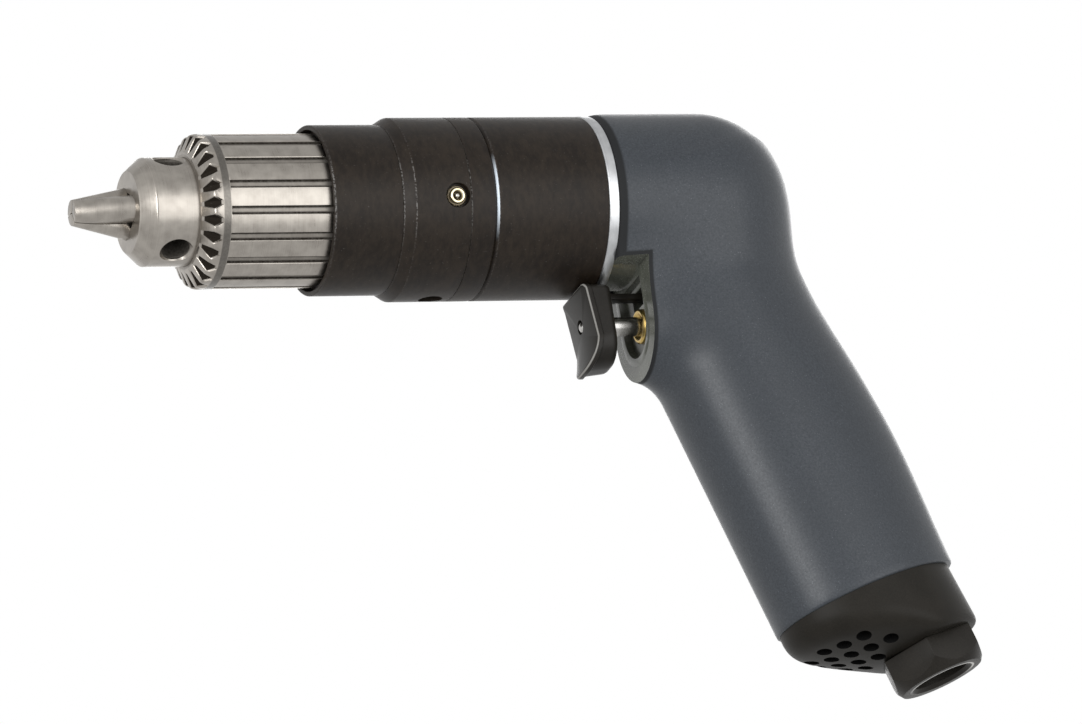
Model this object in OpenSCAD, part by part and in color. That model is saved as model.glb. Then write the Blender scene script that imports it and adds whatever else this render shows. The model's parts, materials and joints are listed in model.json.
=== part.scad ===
// Pistol-grip air drill with a keyed three-jaw chuck, in millimetres.
// The jaw tips meet at the origin, the spindle points along +X, +Z is up and the handle hangs below.
// A station is a distance behind the jaw tips. A clock angle turns from the top (+Z) towards the left (+Y).

/* [Chuck] */
// outer diameter of the fluted sleeve
sleeve_d = 31.5; // [30:0.25:33]
// diameter of the round nose of the chuck body
body_d = 22.2; // [21.8:0.1:22.6]
// diameter of each round jaw
jaw_d = 5.5; // [5.2:0.1:5.7]
// angle of each jaw to the spindle
jaw_tilt = 15; // [14.5:0.25:15.5]
// diameter across the three closed jaw tips
tip_d = 5.3; // [5:0.1:5.6]
// how far the closed jaws stand ahead of the nose
jaw_reach = 11.7; // [10.8:0.1:12.4]
// length of each jaw along the spindle
jaw_length = 29; // [28.2:0.1:29.4]
// largest shank that the open jaws take
capacity = 6.4; // [5.6:0.1:6.5]
// diameter of each key hole
key_d = 5.9; // [5.5:0.1:6]
// diameter of the spindle thread in the chuck
thread_d = 9.5; // [9:0.1:10]
// number of bevel teeth on the sleeve
tooth_count = 27; // [24:1:28]
// number of flutes on the sleeve
flute_count = 18; // [14:1:20]
// depth of each flute
flute_depth = 0.5; // [0.3:0.05:0.7]
// width of each flute
flute_width = 1.6; // [1.2:0.1:2]

/* [Barrel] */
// gap round the tail of the sleeve in the nose cap
rim_gap = 0.7; // [0.4:0.1:1]
// wall of the nose cap round that gap
rim_wall = 1; // [0.8:0.1:1.4]
// outside length of the nose cap
nose_length = 14.8; // [14.4:0.1:16]
// step in radius from the nose cap to the gear case
case_step = 1.4; // [1:0.05:1.6]
// outside length of the gear case
case_length = 14.2; // [14:0.1:15.4]
// outside length of the locking ring
ring_length = 5.5; // [5:0.1:6.5]
// outside length of the motor housing
motor_length = 24.4; // [22:0.2:27]
// width of the bare flange between the motor housing and the grip
flange_width = 2.1; // [1.6:0.1:3]
// diameter of the grease fitting
fitting_d = 4.2; // [4:0.1:5]

/* [Gears] */
// module of the planetary gears
gear_module = 0.55; // [0.53:0.005:0.56]
// backlash along the pitch circles
backlash = 0.12; // [0.1:0.01:0.16]

/* [Motor] */
// outer diameter of the motor cylinder
motor_d = 31; // [30:0.1:31.2]
// length of the rotor
rotor_length = 37.6; // [34:0.2:39]
// diameter of the rotor
rotor_d = 21; // [20:0.1:21.2]
// offset of the cylinder bore from the rotor
rotor_offset = 1.7; // [1.4:0.05:1.8]

/* [Handle] */
// lean of the handle from the vertical
handle_tilt = 18; // [17:0.25:19]
// distance of the handle axis behind the front of the flange, on the spindle axis
handle_set = 20.4; // [19.6:0.1:21.2]
// handle size from front to back
handle_depth = 40.6; // [37:0.1:43]
// handle size from side to side
handle_width = 32; // [31:0.1:34]
// length of the moulded grip along the handle axis
handle_length = 92.5; // [88:0.5:100]
// how far the grip stands proud of the barrel
grip_step = 0.5; // [0.3:0.05:1.2]
// thickness of the moulded grip
grip_wall = 2.2; // [2:0.05:2.4]
// distance of the rear of the grip behind the handle axis, on the spindle axis
grip_tail = 24; // [23.5:0.25:27]
// swell of the grip under the palm
palm_swell = 1.1; // [0:0.1:2]
// hollow of the grip behind the web of the hand
web_dip = 1; // [0:0.1:1.4]
// hole of the air inlet
inlet_d = 12; // [11:0.1:12.4]
// hexagon of the air inlet across its flats
hex_af = 19; // [18:0.1:20]
// length of that hexagon
hex_length = 7.2; // [6:0.2:9]
// distance of the air inlet ahead of the rear of the handle
inlet_back = 12.1; // [11.6:0.1:12.6]
// length of the exhaust cap along the handle axis
cap_length = 13.5; // [12.5:0.1:15]
// diameter of each exhaust vent
vent_d = 3; // [2.4:0.1:3.4]
// distance between vents along a row
vent_pitch = 5.86; // [5.4:0.05:6]

/* [Trigger] */
// distance of the throttle rod below the spindle axis
rod_drop = 26.5; // [26:0.1:27.2]
// diameter of the throttle rod
rod_d = 4; // [3.6:0.1:4.2]
// width of the trigger
trigger_width = 14; // [12:0.2:15]
// height of the trigger
trigger_height = 17.6; // [16:0.2:20]
// distance that the trigger slides
trigger_travel = 3.5; // [2.5:0.1:3.6]

/* [Hidden] */
$fn = 64;
// radial clearance of pieces that run in each other
slip = 0.04;
// radial clearance of pieces that are fixed in each other
seat = 0.02;
// clearance along the axis between pieces that turn past each other
end_gap = 0.3;
// reach of a cut past the faces that it opens
over = 1;

// chuck, stations from the jaw tips
jaw_r = jaw_d / 2;
jaw_clock = 99;
tip_axis = tip_d / 2 - jaw_r / cos(jaw_tilt);
jaw_gap = 0.06;
jaw_back = jaw_length + capacity / 2 / tan(jaw_tilt);
land_r = tip_axis + jaw_back * tan(jaw_tilt) + jaw_r / cos(jaw_tilt) + 0.1;
body_r = body_d / 2;
nose_face = jaw_reach;
cone_end = nose_face + 3;
key_s = nose_face + 7.9;
key_floor = 5.6;
sleeve_front = nose_face + 11.9;
groove_front = sleeve_front + 2.4;
nut_length = 5;
groove_rear = groove_front + nut_length + 2 * end_gap;
groove_r = 9;
nut_r = land_r - 0.8;
bit_r = capacity / 2 + 0.1;
// the mouth of the chuck is wider than the socket behind it, as far as the closed jaws reach into it
mouth_r = bit_r + 0.6;
mouth_end = (bit_r + 0.2 + jaw_r / cos(jaw_tilt) - tip_axis) / tan(jaw_tilt);
body_rear = jaw_back + 10.6;
thread_floor = jaw_back - 1;
sleeve_r = sleeve_d / 2;
sleeve_rear = body_rear - 0.5;
tooth_end = sleeve_front + 3.7;
flute_start = tooth_end + 1.6;

// barrel, stations from the jaw tips
rim_front = sleeve_rear - 0.9;
recess_r = sleeve_r + rim_gap;
nose_r = recess_r + rim_wall;
recess_floor = body_rear + 1;
nose_wall = 2;
brg_front = recess_floor + nose_wall;
brg_width = 8;
brg_r = 13;
journal_r = 5;
brg_rear = brg_front + brg_width;
spigot_front = brg_front + 1.6;
nose_rear = rim_front + nose_length;
case_r = nose_r + case_step;
spigot_r = case_r - 1.55;
case_rear = nose_rear + case_length;
ring_rear = case_rear + ring_length;
motor_rear = ring_rear + motor_length;
flange_rear = motor_rear + flange_width;
flange_r = case_r + 0.05;
bush_shaft_r = 6.5;
bush_out_r = 8.4;
bush_pocket = 2.7;

// planetary train
sun_teeth = 12;
planet_teeth = 18;
ring_teeth = 48;
gear_centre = gear_module * (sun_teeth + planet_teeth) / 2;
addendum = 0.8 * gear_module;
dedendum = 1.05 * gear_module;
ring_out_r = gear_module * ring_teeth / 2 + dedendum + 0.95;
carrier_r = gear_module * ring_teeth / 2 - addendum - 0.6;
carrier_front = nose_rear + 0.9;
carrier_plate = 2.6;
planet_front = carrier_front + carrier_plate + end_gap;
carrier_back_plate = 1.6;
planet_rear = case_rear - carrier_back_plate - 2 * end_gap;
planet_clock = 0;
pin_r = 1.5;
gear_seat = planet_front - 0.1;

// air motor
motor_r = motor_d / 2;
front_brg_r = 9.5;
front_brg_width = 6;
rear_brg_r = 8;
rear_brg_width = 5;
plate_web = 1.2;
plate_front = case_rear + 0.1;
cylinder_front = plate_front + front_brg_width + plate_web;
cylinder_rear = cylinder_front + rotor_length + 0.4;
plate_rear = cylinder_rear + rear_brg_width + plate_web;
rotor_r = rotor_d / 2;
cylinder_bore_r = rotor_r + rotor_offset + 0.2;
shaft_r = 3;
tail_r = 2.5;
stub_r = 1.6;
slot_width = 2;
slot_depth = 5.4;
vane_count = 4;

// handle, measured in its own frame: q forward, L down along the handle
handle_s = motor_rear + handle_set;
half_depth = handle_depth / 2;
half_width = handle_width / 2;
// the outline has its smaller arcs at the ends of its longer axis
side_crown = 3;
deep = half_depth >= half_width;
long_half = max(half_depth, half_width);
short_half = min(half_depth, half_width);
end_r = short_half - side_crown;
oval_c = long_half - end_r;
oval_t = side_crown;
oval_e = (oval_c * oval_c - oval_t * oval_t) / (2 * oval_t);
grip_r = case_r + grip_step;
core_r = grip_r - grip_wall;
grip_end = handle_s + grip_tail;
grip_round = grip_r - 0.8;
frame_r = 8.4;
rim_width = 1.8;
rim_depth = 1.6;
frame_s = flange_rear + 6.3;
frame_top = rod_drop - 10.5;
blend = 7;
palm_L = 65;
palm_half = 19;
web_L = 28;
web_half = 14;
inlet_set = half_depth - inlet_back;
spring_r = 4.1;
wire_r = 0.45;
stem_r = 1.25;
inlet_r = inlet_d / 2;
thread_wall = 1.4;
spigot_in_r = inlet_r + thread_wall;
chamber_r = 5.9;
passage_r = 6.3;
rod_r = rod_d / 2;
bush_r = rod_r + 1.6;
// where the rod meets the inlet axis, as a length along the handle
rod_L = (rod_drop + inlet_set * sin(handle_tilt)) / cos(handle_tilt);
rod_meets_s = handle_s + rod_L * sin(handle_tilt) + inlet_set * cos(handle_tilt);
seat_L = rod_L + 13.7;
head_r = 4.6;
seat_rear_L = seat_L + 2.2;
head_L = seat_rear_L + 1;
screen_L = handle_length - 13;
cap_end = handle_length + cap_length;
cap_inset = 0.5;
cap_wall = 2.2;
cap_round = 34.5;
// the vented face runs from the front wall of the cap to the hexagon
face_q1 = half_depth - 2;
face_L1 = handle_length + 5.5;
face_q2 = 1;
face_angle = atan2(cap_end - face_L1, face_q1 - face_q2);
trigger_back = frame_s - trigger_travel - 2.5;
trigger_front = trigger_back - 6.4;
trigger_top = rod_drop - 7.3;
pad_mid = rod_drop + 1.6;
pad_dish = 31;
pad_crown = 15;
tab_height = 3;
tab_width = 5;
// how far the guide of the trigger stands in the frame at rest
tab_length = rim_depth + 1.4;

// lays a shape drawn along local z on the spindle axis, so that local z is the station and local x is up
module barrel() {
  rotate([0, -90, 0])
    children();
}

// turns a half profile of [radius, station] points about the spindle axis
module turned(points) {
  barrel()
    rotate_extrude()
      polygon(points);
}

// a round bar on the spindle axis between two stations
module bar(r, from, to) {
  barrel()
    translate([0, 0, from])
      cylinder(r = r, h = to - from);
}

// a tube on the spindle axis between two stations
module tube(r_out, r_in, from, to) {
  difference() {
    bar(r_out, from, to);
    bar(r_in, from - over, to + over);
  }
}

// stands a shape in the handle frame: local x is q, local z is L
module in_handle() {
  translate([-handle_s, 0, 0])
    rotate([0, handle_tilt, 0])
      rotate([180, 0, 0])
        children();
}

// a round bar along the handle
module handle_bar(r, q, y, from, to) {
  in_handle()
    translate([q, y, from])
      cylinder(r = r, h = to - from);
}

// a round bar along the throttle rod
module rod_bar(r, from, to) {
  translate([0, 0, -rod_drop])
    bar(r, from, to);
}

// outline of the handle, drawn in by a distance: two end arcs joined by two flatter side arcs
function oval_points(inset, n) =
  let (turn = atan2(oval_e, oval_c), r1 = end_r - inset, r2 = short_half + oval_e - inset,
       points = concat(
         [for (i = [0 : n - 1]) let (a = -turn + 2 * turn * i / n) [oval_c + r1 * cos(a), r1 * sin(a)]],
         [for (i = [0 : n - 1]) let (a = turn + (180 - 2 * turn) * i / n)
           [r2 * cos(a), -oval_e + r2 * sin(a)]],
         [for (i = [0 : n - 1]) let (a = 180 - turn + 2 * turn * i / n) [-oval_c + r1 * cos(a), r1 * sin(a)]],
         [for (i = [0 : n - 1]) let (a = 180 + turn + (180 - 2 * turn) * i / n)
           [r2 * cos(a), oval_e + r2 * sin(a)]]))
  deep ? points : [for (p = points) [p[1], -p[0]]];

module oval_bar(inset, from, to, n) {
  in_handle()
    translate([0, 0, from])
      linear_extrude(height = to - from)
        polygon(oval_points(inset, n));
}

// distance of a point from the outline of the handle
function oval_field(q, y) =
  let (Q = abs(deep ? q : y), Y = abs(deep ? y : q))
  oval_c * (Y + oval_e) > oval_e * Q
    ? norm([Q, Y + oval_e]) - short_half - oval_e
    : norm([Q - oval_c, Y]) - end_r;

// joins two fields with a soft fillet
function soft_join(a, b) =
  let (h = max(0, min(1, 0.5 + 0.5 * (b - a) / blend)))
  b * (1 - h) + a * h - blend * h * (1 - h);

// the barrel of the grip with its rounded tail, at station s
function barrel_field(s, y, z) =
  let (a = norm([y, z]) - grip_r + grip_round, b = s - grip_end + grip_round)
  norm([max(a, 0), max(b, 0)]) + min(max(a, b), 0) - grip_round;

// how far the rear of the grip swells under the palm and draws in behind the web of the hand
function palm(q, L) =
  max(0, -q / half_depth) * (palm_swell * exp(-pow((L - palm_L) / palm_half, 2))
    - web_dip * exp(-pow((L - web_L) / web_half, 2)));

// the handle, from the spindle axis down
function handle_field(s, y, z) =
  let (L = (s - handle_s) * sin(handle_tilt) - z * cos(handle_tilt),
       q = -(s - handle_s) * cos(handle_tilt) - z * sin(handle_tilt))
  max(oval_field(q, y) - palm(q, L), -L);

// the nose of the grip round the trigger frame
function frame_field(s, y, z) =
  norm([y, z + max(0, min(rod_drop, -z))]) - frame_r - grip_wall - 0.6;

function grip_field(s, y, z) =
  soft_join(soft_join(barrel_field(s, y, z), handle_field(s, y, z)),
            max(frame_field(s, y, z), s - handle_s));

// the grip is a loft on planes that fan out from the front plane of the grip to planes across the handle
fan_drop = rod_drop + frame_r + grip_wall + 15.3;
fan_L = (flange_rear - handle_s) * sin(handle_tilt) + fan_drop * cos(handle_tilt);
fan_q = (handle_s - flange_rear) * cos(handle_tilt) + fan_drop * sin(handle_tilt);
fan_turn = 90 - handle_tilt;
fan_steps = 20;
leg_steps = 6;
fan_start = fan_drop - 9;
around = 40;

// the first sections lie close together and round the front edge down to the flange
edge_at = [0, 0.012, 0.03];
edge_drop = [1, 0.25, 0] * (grip_r - flange_r);
edge_steps = len(edge_at) - 1;
function fan_at(i) = i <= edge_steps ? edge_at[i] : min((i - edge_steps) / fan_steps, 1);

// middle of each section as [station, z], and its outward direction in the side view
function spine(i) =
  let (f = fan_at(i), t = fan_turn * f, r = fan_start + (fan_q - fan_start) * f,
       leg = max(0, i - edge_steps - fan_steps) / leg_steps * (handle_length - fan_L))
  [flange_rear + r * sin(t) + leg * sin(handle_tilt),
   -fan_drop + r * cos(t) - leg * cos(handle_tilt)];
function heading(i) = let (t = fan_turn * fan_at(i)) [sin(t), cos(t)];

// distance from the spine to the surface along a ray, by halving
function reach(m, d, a, lo, hi, n) =
  let (mid = (lo + hi) / 2,
       v = grip_field(m[0] + mid * cos(a) * d[0], mid * sin(a), m[1] + mid * cos(a) * d[1]))
  n == 0 ? mid : v > 0 ? reach(m, d, a, lo, mid, n - 1) : reach(m, d, a, mid, hi, n - 1);

function section(i) =
  let (m = spine(i), d = heading(i))
  [for (k = [0 : around - 1])
    let (a = 360 * k / around, r = reach(m, d, a, 0, 60, 15) - (i <= edge_steps ? edge_drop[i] : 0))
    [-(m[0] + r * cos(a) * d[0]), r * sin(a), m[1] + r * cos(a) * d[1]]];

module grip_solid() {
  last = edge_steps + fan_steps + leg_steps;
  points = [for (i = [0 : last]) each section(i)];
  sides = [for (i = [0 : last - 1], k = [0 : around - 1])
    let (a = i * around + k, b = i * around + (k + 1) % around)
    each [[b, a, b + around], [b + around, a, a + around]]];
  polyhedron(points = points,
    faces = concat(sides,
      [[for (k = [0 : around - 1]) k]],
      [[for (k = [around - 1 : -1 : 0]) last * around + k]]));
}

// the casting without its bores
// grown by a clearance and run past both ends, it also cuts the inside of the grip
module core(gap, past) {
  turned([[0, flange_rear - past], [core_r + gap, flange_rear - past], [core_r + gap, handle_s + 5],
    [core_r - 6 + gap, handle_s + 17 + gap], [0, handle_s + 17 + gap]]);
  // no part of the handle stands ahead of the frame
  difference() {
    oval_bar(grip_wall - gap, 0, handle_length + past, 10);
    translate([-frame_s + gap, -40, -90])
      cube([60, 80, 90]);
  }
  translate([-handle_s, -frame_r - gap, -rod_drop])
    cube([handle_s - frame_s, 2 * (frame_r + gap), rod_drop]);
  rod_bar(frame_r + gap, frame_s, handle_s);
}

// involute angle in degrees of a base radius seen from a radius
function involute(base, r) = r <= base ? 0 : let (p = acos(base / r)) tan(p) * 180 / PI - p;

// outline of a small gear with its teeth thinned by the backlash
function pinion_points(teeth) =
  let (rp = gear_module * teeth / 2, base = rp * cos(20), root = rp - dedendum, tip = rp + addendum,
       half = 90 / teeth - backlash / 2 / rp * 180 / PI + involute(base, rp),
       start = max(base, root) + 0.01, mid = (start + tip) / 2)
  [for (k = [0 : teeth - 1])
    let (c = 360 * k / teeth, a0 = half - involute(base, start), a1 = half - involute(base, mid),
         a2 = half - involute(base, tip))
    each [[root * cos(c - a0), root * sin(c - a0)], [start * cos(c - a0), start * sin(c - a0)],
      [mid * cos(c - a1), mid * sin(c - a1)], [tip * cos(c - a2), tip * sin(c - a2)],
      [tip * cos(c + a2), tip * sin(c + a2)], [mid * cos(c + a1), mid * sin(c + a1)],
      [start * cos(c + a0), start * sin(c + a0)], [root * cos(c + a0), root * sin(c + a0)]]];

// outline of the hollow of the ring gear: its spaces are teeth of the same involute, widened
function hollow_points() =
  let (teeth = ring_teeth, rp = gear_module * teeth / 2, base = rp * cos(20),
       low = rp - addendum, top = rp + dedendum, mid = rp,
       half = 90 / teeth + backlash / 2 / rp * 180 / PI + involute(base, rp),
       b0 = half - involute(base, low), b1 = half - involute(base, mid), b2 = half - involute(base, top))
  [for (k = [0 : teeth - 1])
    let (c = 360 * (k + 0.5) / teeth)
    each [[low * cos(c - b0), low * sin(c - b0)], [mid * cos(c - b1), mid * sin(c - b1)],
      [top * cos(c - b2), top * sin(c - b2)], [top * cos(c + b2), top * sin(c + b2)],
      [mid * cos(c + b1), mid * sin(c + b1)], [low * cos(c + b0), low * sin(c + b0)]]];

// a ball bearing between two stations: outer ring, inner ring and balls
module bearing(r_in, r_out, from, to, balls) {
  wall = (r_out - r_in) * 0.27;
  ball_r = (r_out - r_in - 2 * wall) / 2 - 0.03;
  tube(r_out, r_out - wall, from, to);
  tube(r_in + wall, r_in, from, to);
  barrel()
    for (k = [0 : balls - 1])
      rotate([0, 0, 360 * k / balls])
        translate([(r_in + r_out) / 2, 0, (from + to) / 2])
          sphere(r = ball_r);
}

// one jaw at its clock angle: a tilted round bar, ground to a wedge of a third of a turn
module jaw(clock) {
  color("silver")
    barrel()
      rotate([0, 0, clock])
        difference() {
          translate([tip_axis, 0, 0])
            rotate([0, jaw_tilt, 0])
              translate([0, 0, -5])
                cylinder(r = jaw_r, h = jaw_length / cos(jaw_tilt) + 5);
          translate([-20, -20, -10])
            cube([40, 40, 10]);
          rotate([0, 0, 60])
            translate([-20, -jaw_gap, -over])
              cube([40, 20, jaw_length + 5]);
          rotate([0, 0, -60])
            translate([-20, jaw_gap - 20, -over])
              cube([40, 20, jaw_length + 5]);
        }
}

module chuck_jaw_1() {
  jaw(jaw_clock);
}

module chuck_jaw_2() {
  jaw(jaw_clock + 120);
}

module chuck_jaw_3() {
  jaw(jaw_clock + 240);
}

module chuck_body() {
  color("lightgrey")
    difference() {
      turned([[bit_r, mouth_end], [mouth_r, mouth_end], [mouth_r, nose_face], [body_r - 2.7, nose_face],
        [body_r, cone_end], [body_r, groove_front], [groove_r, groove_front], [groove_r, groove_rear],
        [land_r, groove_rear], [land_r, body_rear - 0.6], [land_r - 0.6, body_rear], [thread_d / 2, body_rear],
        [thread_d / 2, thread_floor], [bit_r, thread_floor]]);
      barrel()
        for (k = [0 : 2])
          rotate([0, 0, jaw_clock + 120 * k])
            translate([tip_axis, 0, 0])
              rotate([0, jaw_tilt, 0])
                cylinder(r = jaw_r + slip, h = (jaw_back + end_gap) / cos(jaw_tilt));
      barrel()
        for (k = [0 : 2])
          rotate([0, 0, jaw_clock + 60 + 120 * k])
            translate([key_floor, 0, key_s])
              rotate([0, 90, 0])
                cylinder(r = key_d / 2, h = body_r);
    }
}

// the front corner of the sleeve is cut into bevel teeth by straight notches along a cone
module chuck_sleeve() {
  color("gainsboro")
    difference() {
      turned([[body_r + slip, sleeve_front], [sleeve_r - 3.7, sleeve_front],
        [sleeve_r - 0.5, sleeve_front + 1.5], [sleeve_r - 0.15, sleeve_front + 1.9],
        [sleeve_r, sleeve_front + 2.5], [sleeve_r, sleeve_rear - 0.4], [sleeve_r - 0.4, sleeve_rear],
        [land_r + slip, sleeve_rear], [land_r + slip, groove_rear], [nut_r, groove_rear], [nut_r, groove_front],
        [body_r + slip, groove_front]]);
      barrel()
        for (k = [0 : tooth_count - 1])
          rotate([0, 0, 106 + 360 * k / tooth_count])
            translate([sleeve_r - 3.6, 0, sleeve_front])
              rotate([0, 45, 0])
                rotate([0, 0, -90])
                  translate([0, 0, -3])
                    linear_extrude(height = 10)
                      polygon([[-0.25, 0], [0.25, 0], [1.9, 3], [-1.9, 3]]);
      barrel()
        for (k = [0 : flute_count - 1])
          rotate([0, 0, 112 + 360 * k / flute_count])
            translate([sleeve_r - flute_depth, -flute_width / 2, flute_start])
              cube([4, flute_width, sleeve_rear]);
    }
}

// the nut is split so that it closes round the groove of the body
module chuck_nut() {
  r_front = tip_axis + (groove_front + end_gap) * tan(jaw_tilt) + jaw_r / cos(jaw_tilt) + end_gap;
  r_rear = r_front + nut_length * tan(jaw_tilt);
  color("dimgrey")
    difference() {
      turned([[r_front, groove_front + end_gap], [nut_r - seat, groove_front + end_gap],
        [nut_r - seat, groove_rear - end_gap], [r_rear, groove_rear - end_gap]]);
      translate([-groove_rear - over, -0.2, -30])
        cube([nut_length + 4, 0.4, 60]);
    }
}

module nose_cap() {
  color("black")
    turned([[recess_r, rim_front + 0.2], [recess_r + 0.2, rim_front], [nose_r - 0.3, rim_front],
      [nose_r, rim_front + 0.3], [nose_r, nose_rear], [spigot_r - 2.3 + seat, nose_rear],
      [spigot_r - 2.3 + seat, spigot_front - end_gap], [brg_r + seat, spigot_front - end_gap],
      [brg_r + seat, brg_front], [7.7, brg_front], [7.7, recess_floor], [recess_r, recess_floor]]);
}

fitting_clock = 104;
fitting_s = case_rear - 2.9;
lip_r = 0.3 * fitting_d;
lip_bore_r = lip_r - 0.45;
grease_ball_r = lip_bore_r - 0.3;

module gear_case() {
  color("black")
    difference() {
      turned([[brg_r + seat, spigot_front], [spigot_r - 2.3, spigot_front], [spigot_r - 2.3, nose_rear],
        [nose_r, nose_rear], [case_r, nose_rear + 2.3], [case_r, case_rear - 0.15], [case_r - 0.15, case_rear],
        [spigot_r, case_rear], [spigot_r, case_rear + ring_length / 2 - 0.1],
        [ring_out_r + seat, case_rear + ring_length / 2 - 0.1], [ring_out_r + seat, gear_seat],
        [carrier_r + 0.5, gear_seat], [carrier_r + 0.5, brg_rear + bush_pocket],
        [bush_out_r + seat, brg_rear + bush_pocket], [bush_out_r + seat, brg_rear], [brg_r + seat, brg_rear]]);
      barrel()
        rotate([0, 0, fitting_clock])
          translate([ring_out_r - over, 0, fitting_s])
            rotate([0, 90, 0])
              cylinder(r = 1.5 + seat, h = 10);
      barrel()
        rotate([0, 0, fitting_clock])
          translate([case_r - 1.6, 0, fitting_s])
            rotate([0, 90, 0])
              cylinder(r = fitting_d / 2 + 0.5, h = 10);
      barrel()
        rotate([0, 0, 190])
          translate([case_r - 2, 0, fitting_s - 1.2])
            rotate([0, 90, 0])
              cylinder(r = 2.5, h = 10);
    }
}

// flush fitting: threaded stub, six-sided collar and a round mouth for the grease gun
module grease_fitting() {
  color("darkgoldenrod")
    barrel()
      rotate([0, 0, fitting_clock])
        translate([0, 0, fitting_s])
          rotate([0, 90, 0])
            difference() {
              union() {
                translate([0, 0, ring_out_r + 0.3])
                  cylinder(r = 1.5, h = case_r - 1.6 - ring_out_r);
                translate([0, 0, case_r - 1.6])
                  cylinder(r = fitting_d / 2, h = 0.9, $fn = 6);
                translate([0, 0, case_r - 1.6])
                  cylinder(r = lip_r, h = 1.3);
              }
              translate([0, 0, case_r - 1.3])
                cylinder(r = lip_bore_r, h = 3);
            }
}

module grease_ball() {
  color("silver")
    barrel()
      rotate([0, 0, fitting_clock])
        translate([case_r - 1.3 + grease_ball_r, 0, fitting_s])
          sphere(r = grease_ball_r);
}

module locking_ring() {
  color("black")
    turned([[spigot_r + seat, case_rear], [case_r - 0.15, case_rear], [case_r, case_rear + 0.15],
      [case_r, ring_rear - 0.5], [case_r - 0.5, ring_rear], [spigot_r + seat, ring_rear]]);
}

module motor_housing() {
  color("black")
    turned([[motor_r + seat, case_rear + ring_length / 2 + 0.1], [spigot_r, case_rear + ring_length / 2 + 0.1],
      [spigot_r, ring_rear], [case_r - 0.5, ring_rear], [case_r, ring_rear + 0.5], [case_r, motor_rear - 0.3],
      [case_r - 0.3, motor_rear], [spigot_r + seat, motor_rear], [spigot_r + seat, motor_rear - 4.7],
      [motor_r + seat, motor_rear - 4.7]]);
}

// casting: spigot and bare flange in front, motor bore, trigger frame, handle core with its air ways
module handle_housing() {
  color("darkgrey")
    difference() {
      union() {
        bar(spigot_r, motor_rear - 4.5, motor_rear);
        turned([[0, motor_rear], [flange_r - 0.2, motor_rear], [flange_r, motor_rear + 0.2],
          [flange_r, flange_rear - 0.1], [flange_r - 0.1, flange_rear], [0, flange_rear]]);
        core(0, 0);
      }
      bar(motor_r + seat, motor_rear - 6, plate_rear + 0.1);
      bar(motor_r - 4, plate_rear - over, handle_s + 12);
      for (y = [-5.2, 5.2])
        handle_bar(4, 7.5, y, 4, handle_length + over);
      handle_bar(4.2, -inlet_set, 0, 4, rod_L);
      handle_bar(chamber_r, -inlet_set, 0, rod_L - 8, seat_L + over);
      handle_bar(passage_r, -inlet_set, 0, seat_L, screen_L + over);
      handle_bar(spigot_in_r + seat, -inlet_set, 0, screen_L, handle_length + over);
      rod_bar(bush_r + seat, frame_s - over, rod_meets_s);
      rod_bar(frame_r - rim_width, frame_s - over, frame_s + rim_depth);
      translate([-frame_s - rim_depth, rim_width - frame_r, -rod_drop])
        cube([rim_depth + over, 2 * (frame_r - rim_width), rod_drop - frame_top - rim_width]);
      translate([-frame_s - trigger_travel - tab_length - 0.5, -tab_width / 2 - 0.3,
        -trigger_top - tab_height - 0.3])
        cube([trigger_travel + tab_length + 0.5 + over, tab_width + 0.6, tab_height + 0.6]);
    }
}

// moulded cover: the lofted grip less the casting, cut back below the flange to frame the trigger
module grip_cover() {
  color("slategrey")
    difference() {
      grip_solid();
      core(seat, over);
      translate([-frame_s, -40, -90])
        cube([60, 80, 90 - frame_top]);
    }
}

// the finger face is the inside of a torus: dished from top to bottom and crowned from side to side
module trigger() {
  low = trigger_top + trigger_height;
  color("black")
    difference() {
      union() {
        intersection() {
          translate([-trigger_front + pad_dish, 0, -pad_mid])
            rotate([90, 0, 0])
              rotate_extrude()
                translate([pad_dish + pad_crown, 0])
                  circle(r = pad_crown);
          translate([0, trigger_width / 2, 0])
            rotate([90, 0, 0])
              linear_extrude(height = trigger_width)
                polygon(concat(
                  [[-trigger_front + 6, -trigger_top], [-trigger_front + 6, -low]],
                  [for (i = [0 : 6]) let (a = 270 - 15 * i)
                    [-trigger_back + 3.2 + 3.2 * cos(a), -low + 3.2 + 3.2 * sin(a)]],
                  [[-trigger_back, -trigger_top - 1], [-trigger_back + 1, -trigger_top]]));
        }
        translate([-frame_s - tab_length, -tab_width / 2, -trigger_top - tab_height])
          cube([frame_s - trigger_back + tab_length + 2, tab_width, tab_height]);
      }
      rod_bar(1.5 + seat, trigger_front - 8, trigger_back);
      rod_bar(rod_r + seat, trigger_front + 3.2, trigger_back + over);
    }
}

rod_end = rod_meets_s - (stem_r / cos(handle_tilt)) - tan(handle_tilt) - 0.25;

module throttle_rod() {
  color("silver")
    translate([0, 0, -rod_drop])
      turned([[0, trigger_front + 1], [1.2, trigger_front + 1], [1.5, trigger_front + 1.3],
        [1.5, trigger_front + 3.3], [rod_r, trigger_front + 3.3], [rod_r, rod_end - 3], [1, rod_end - 2],
        [1, rod_end], [0, rod_end]]);
}

bush_rear = rod_meets_s - chamber_r / cos(handle_tilt) - 2;
seal_s = bush_rear - 5;

module throttle_bush() {
  color("goldenrod")
    translate([0, 0, -rod_drop])
      turned([[rod_r + slip + 0.8, frame_s - 0.4], [bush_r - 0.4, frame_s - 0.4], [bush_r, frame_s],
        [bush_r, bush_rear], [rod_r + slip, bush_rear], [rod_r + slip, seal_s + 0.65],
        [rod_r + 1.05, seal_s + 0.65], [rod_r + 1.05, seal_s - 0.65], [rod_r + slip, seal_s - 0.65],
        [rod_r + slip, frame_s + 0.4]]);
}

module rod_seal() {
  color("dimgrey")
    translate([-seal_s, 0, -rod_drop])
      rotate([0, 90, 0])
        rotate_extrude()
          translate([rod_r + slip + 0.5, 0])
            circle(r = 0.48);
}

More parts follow.
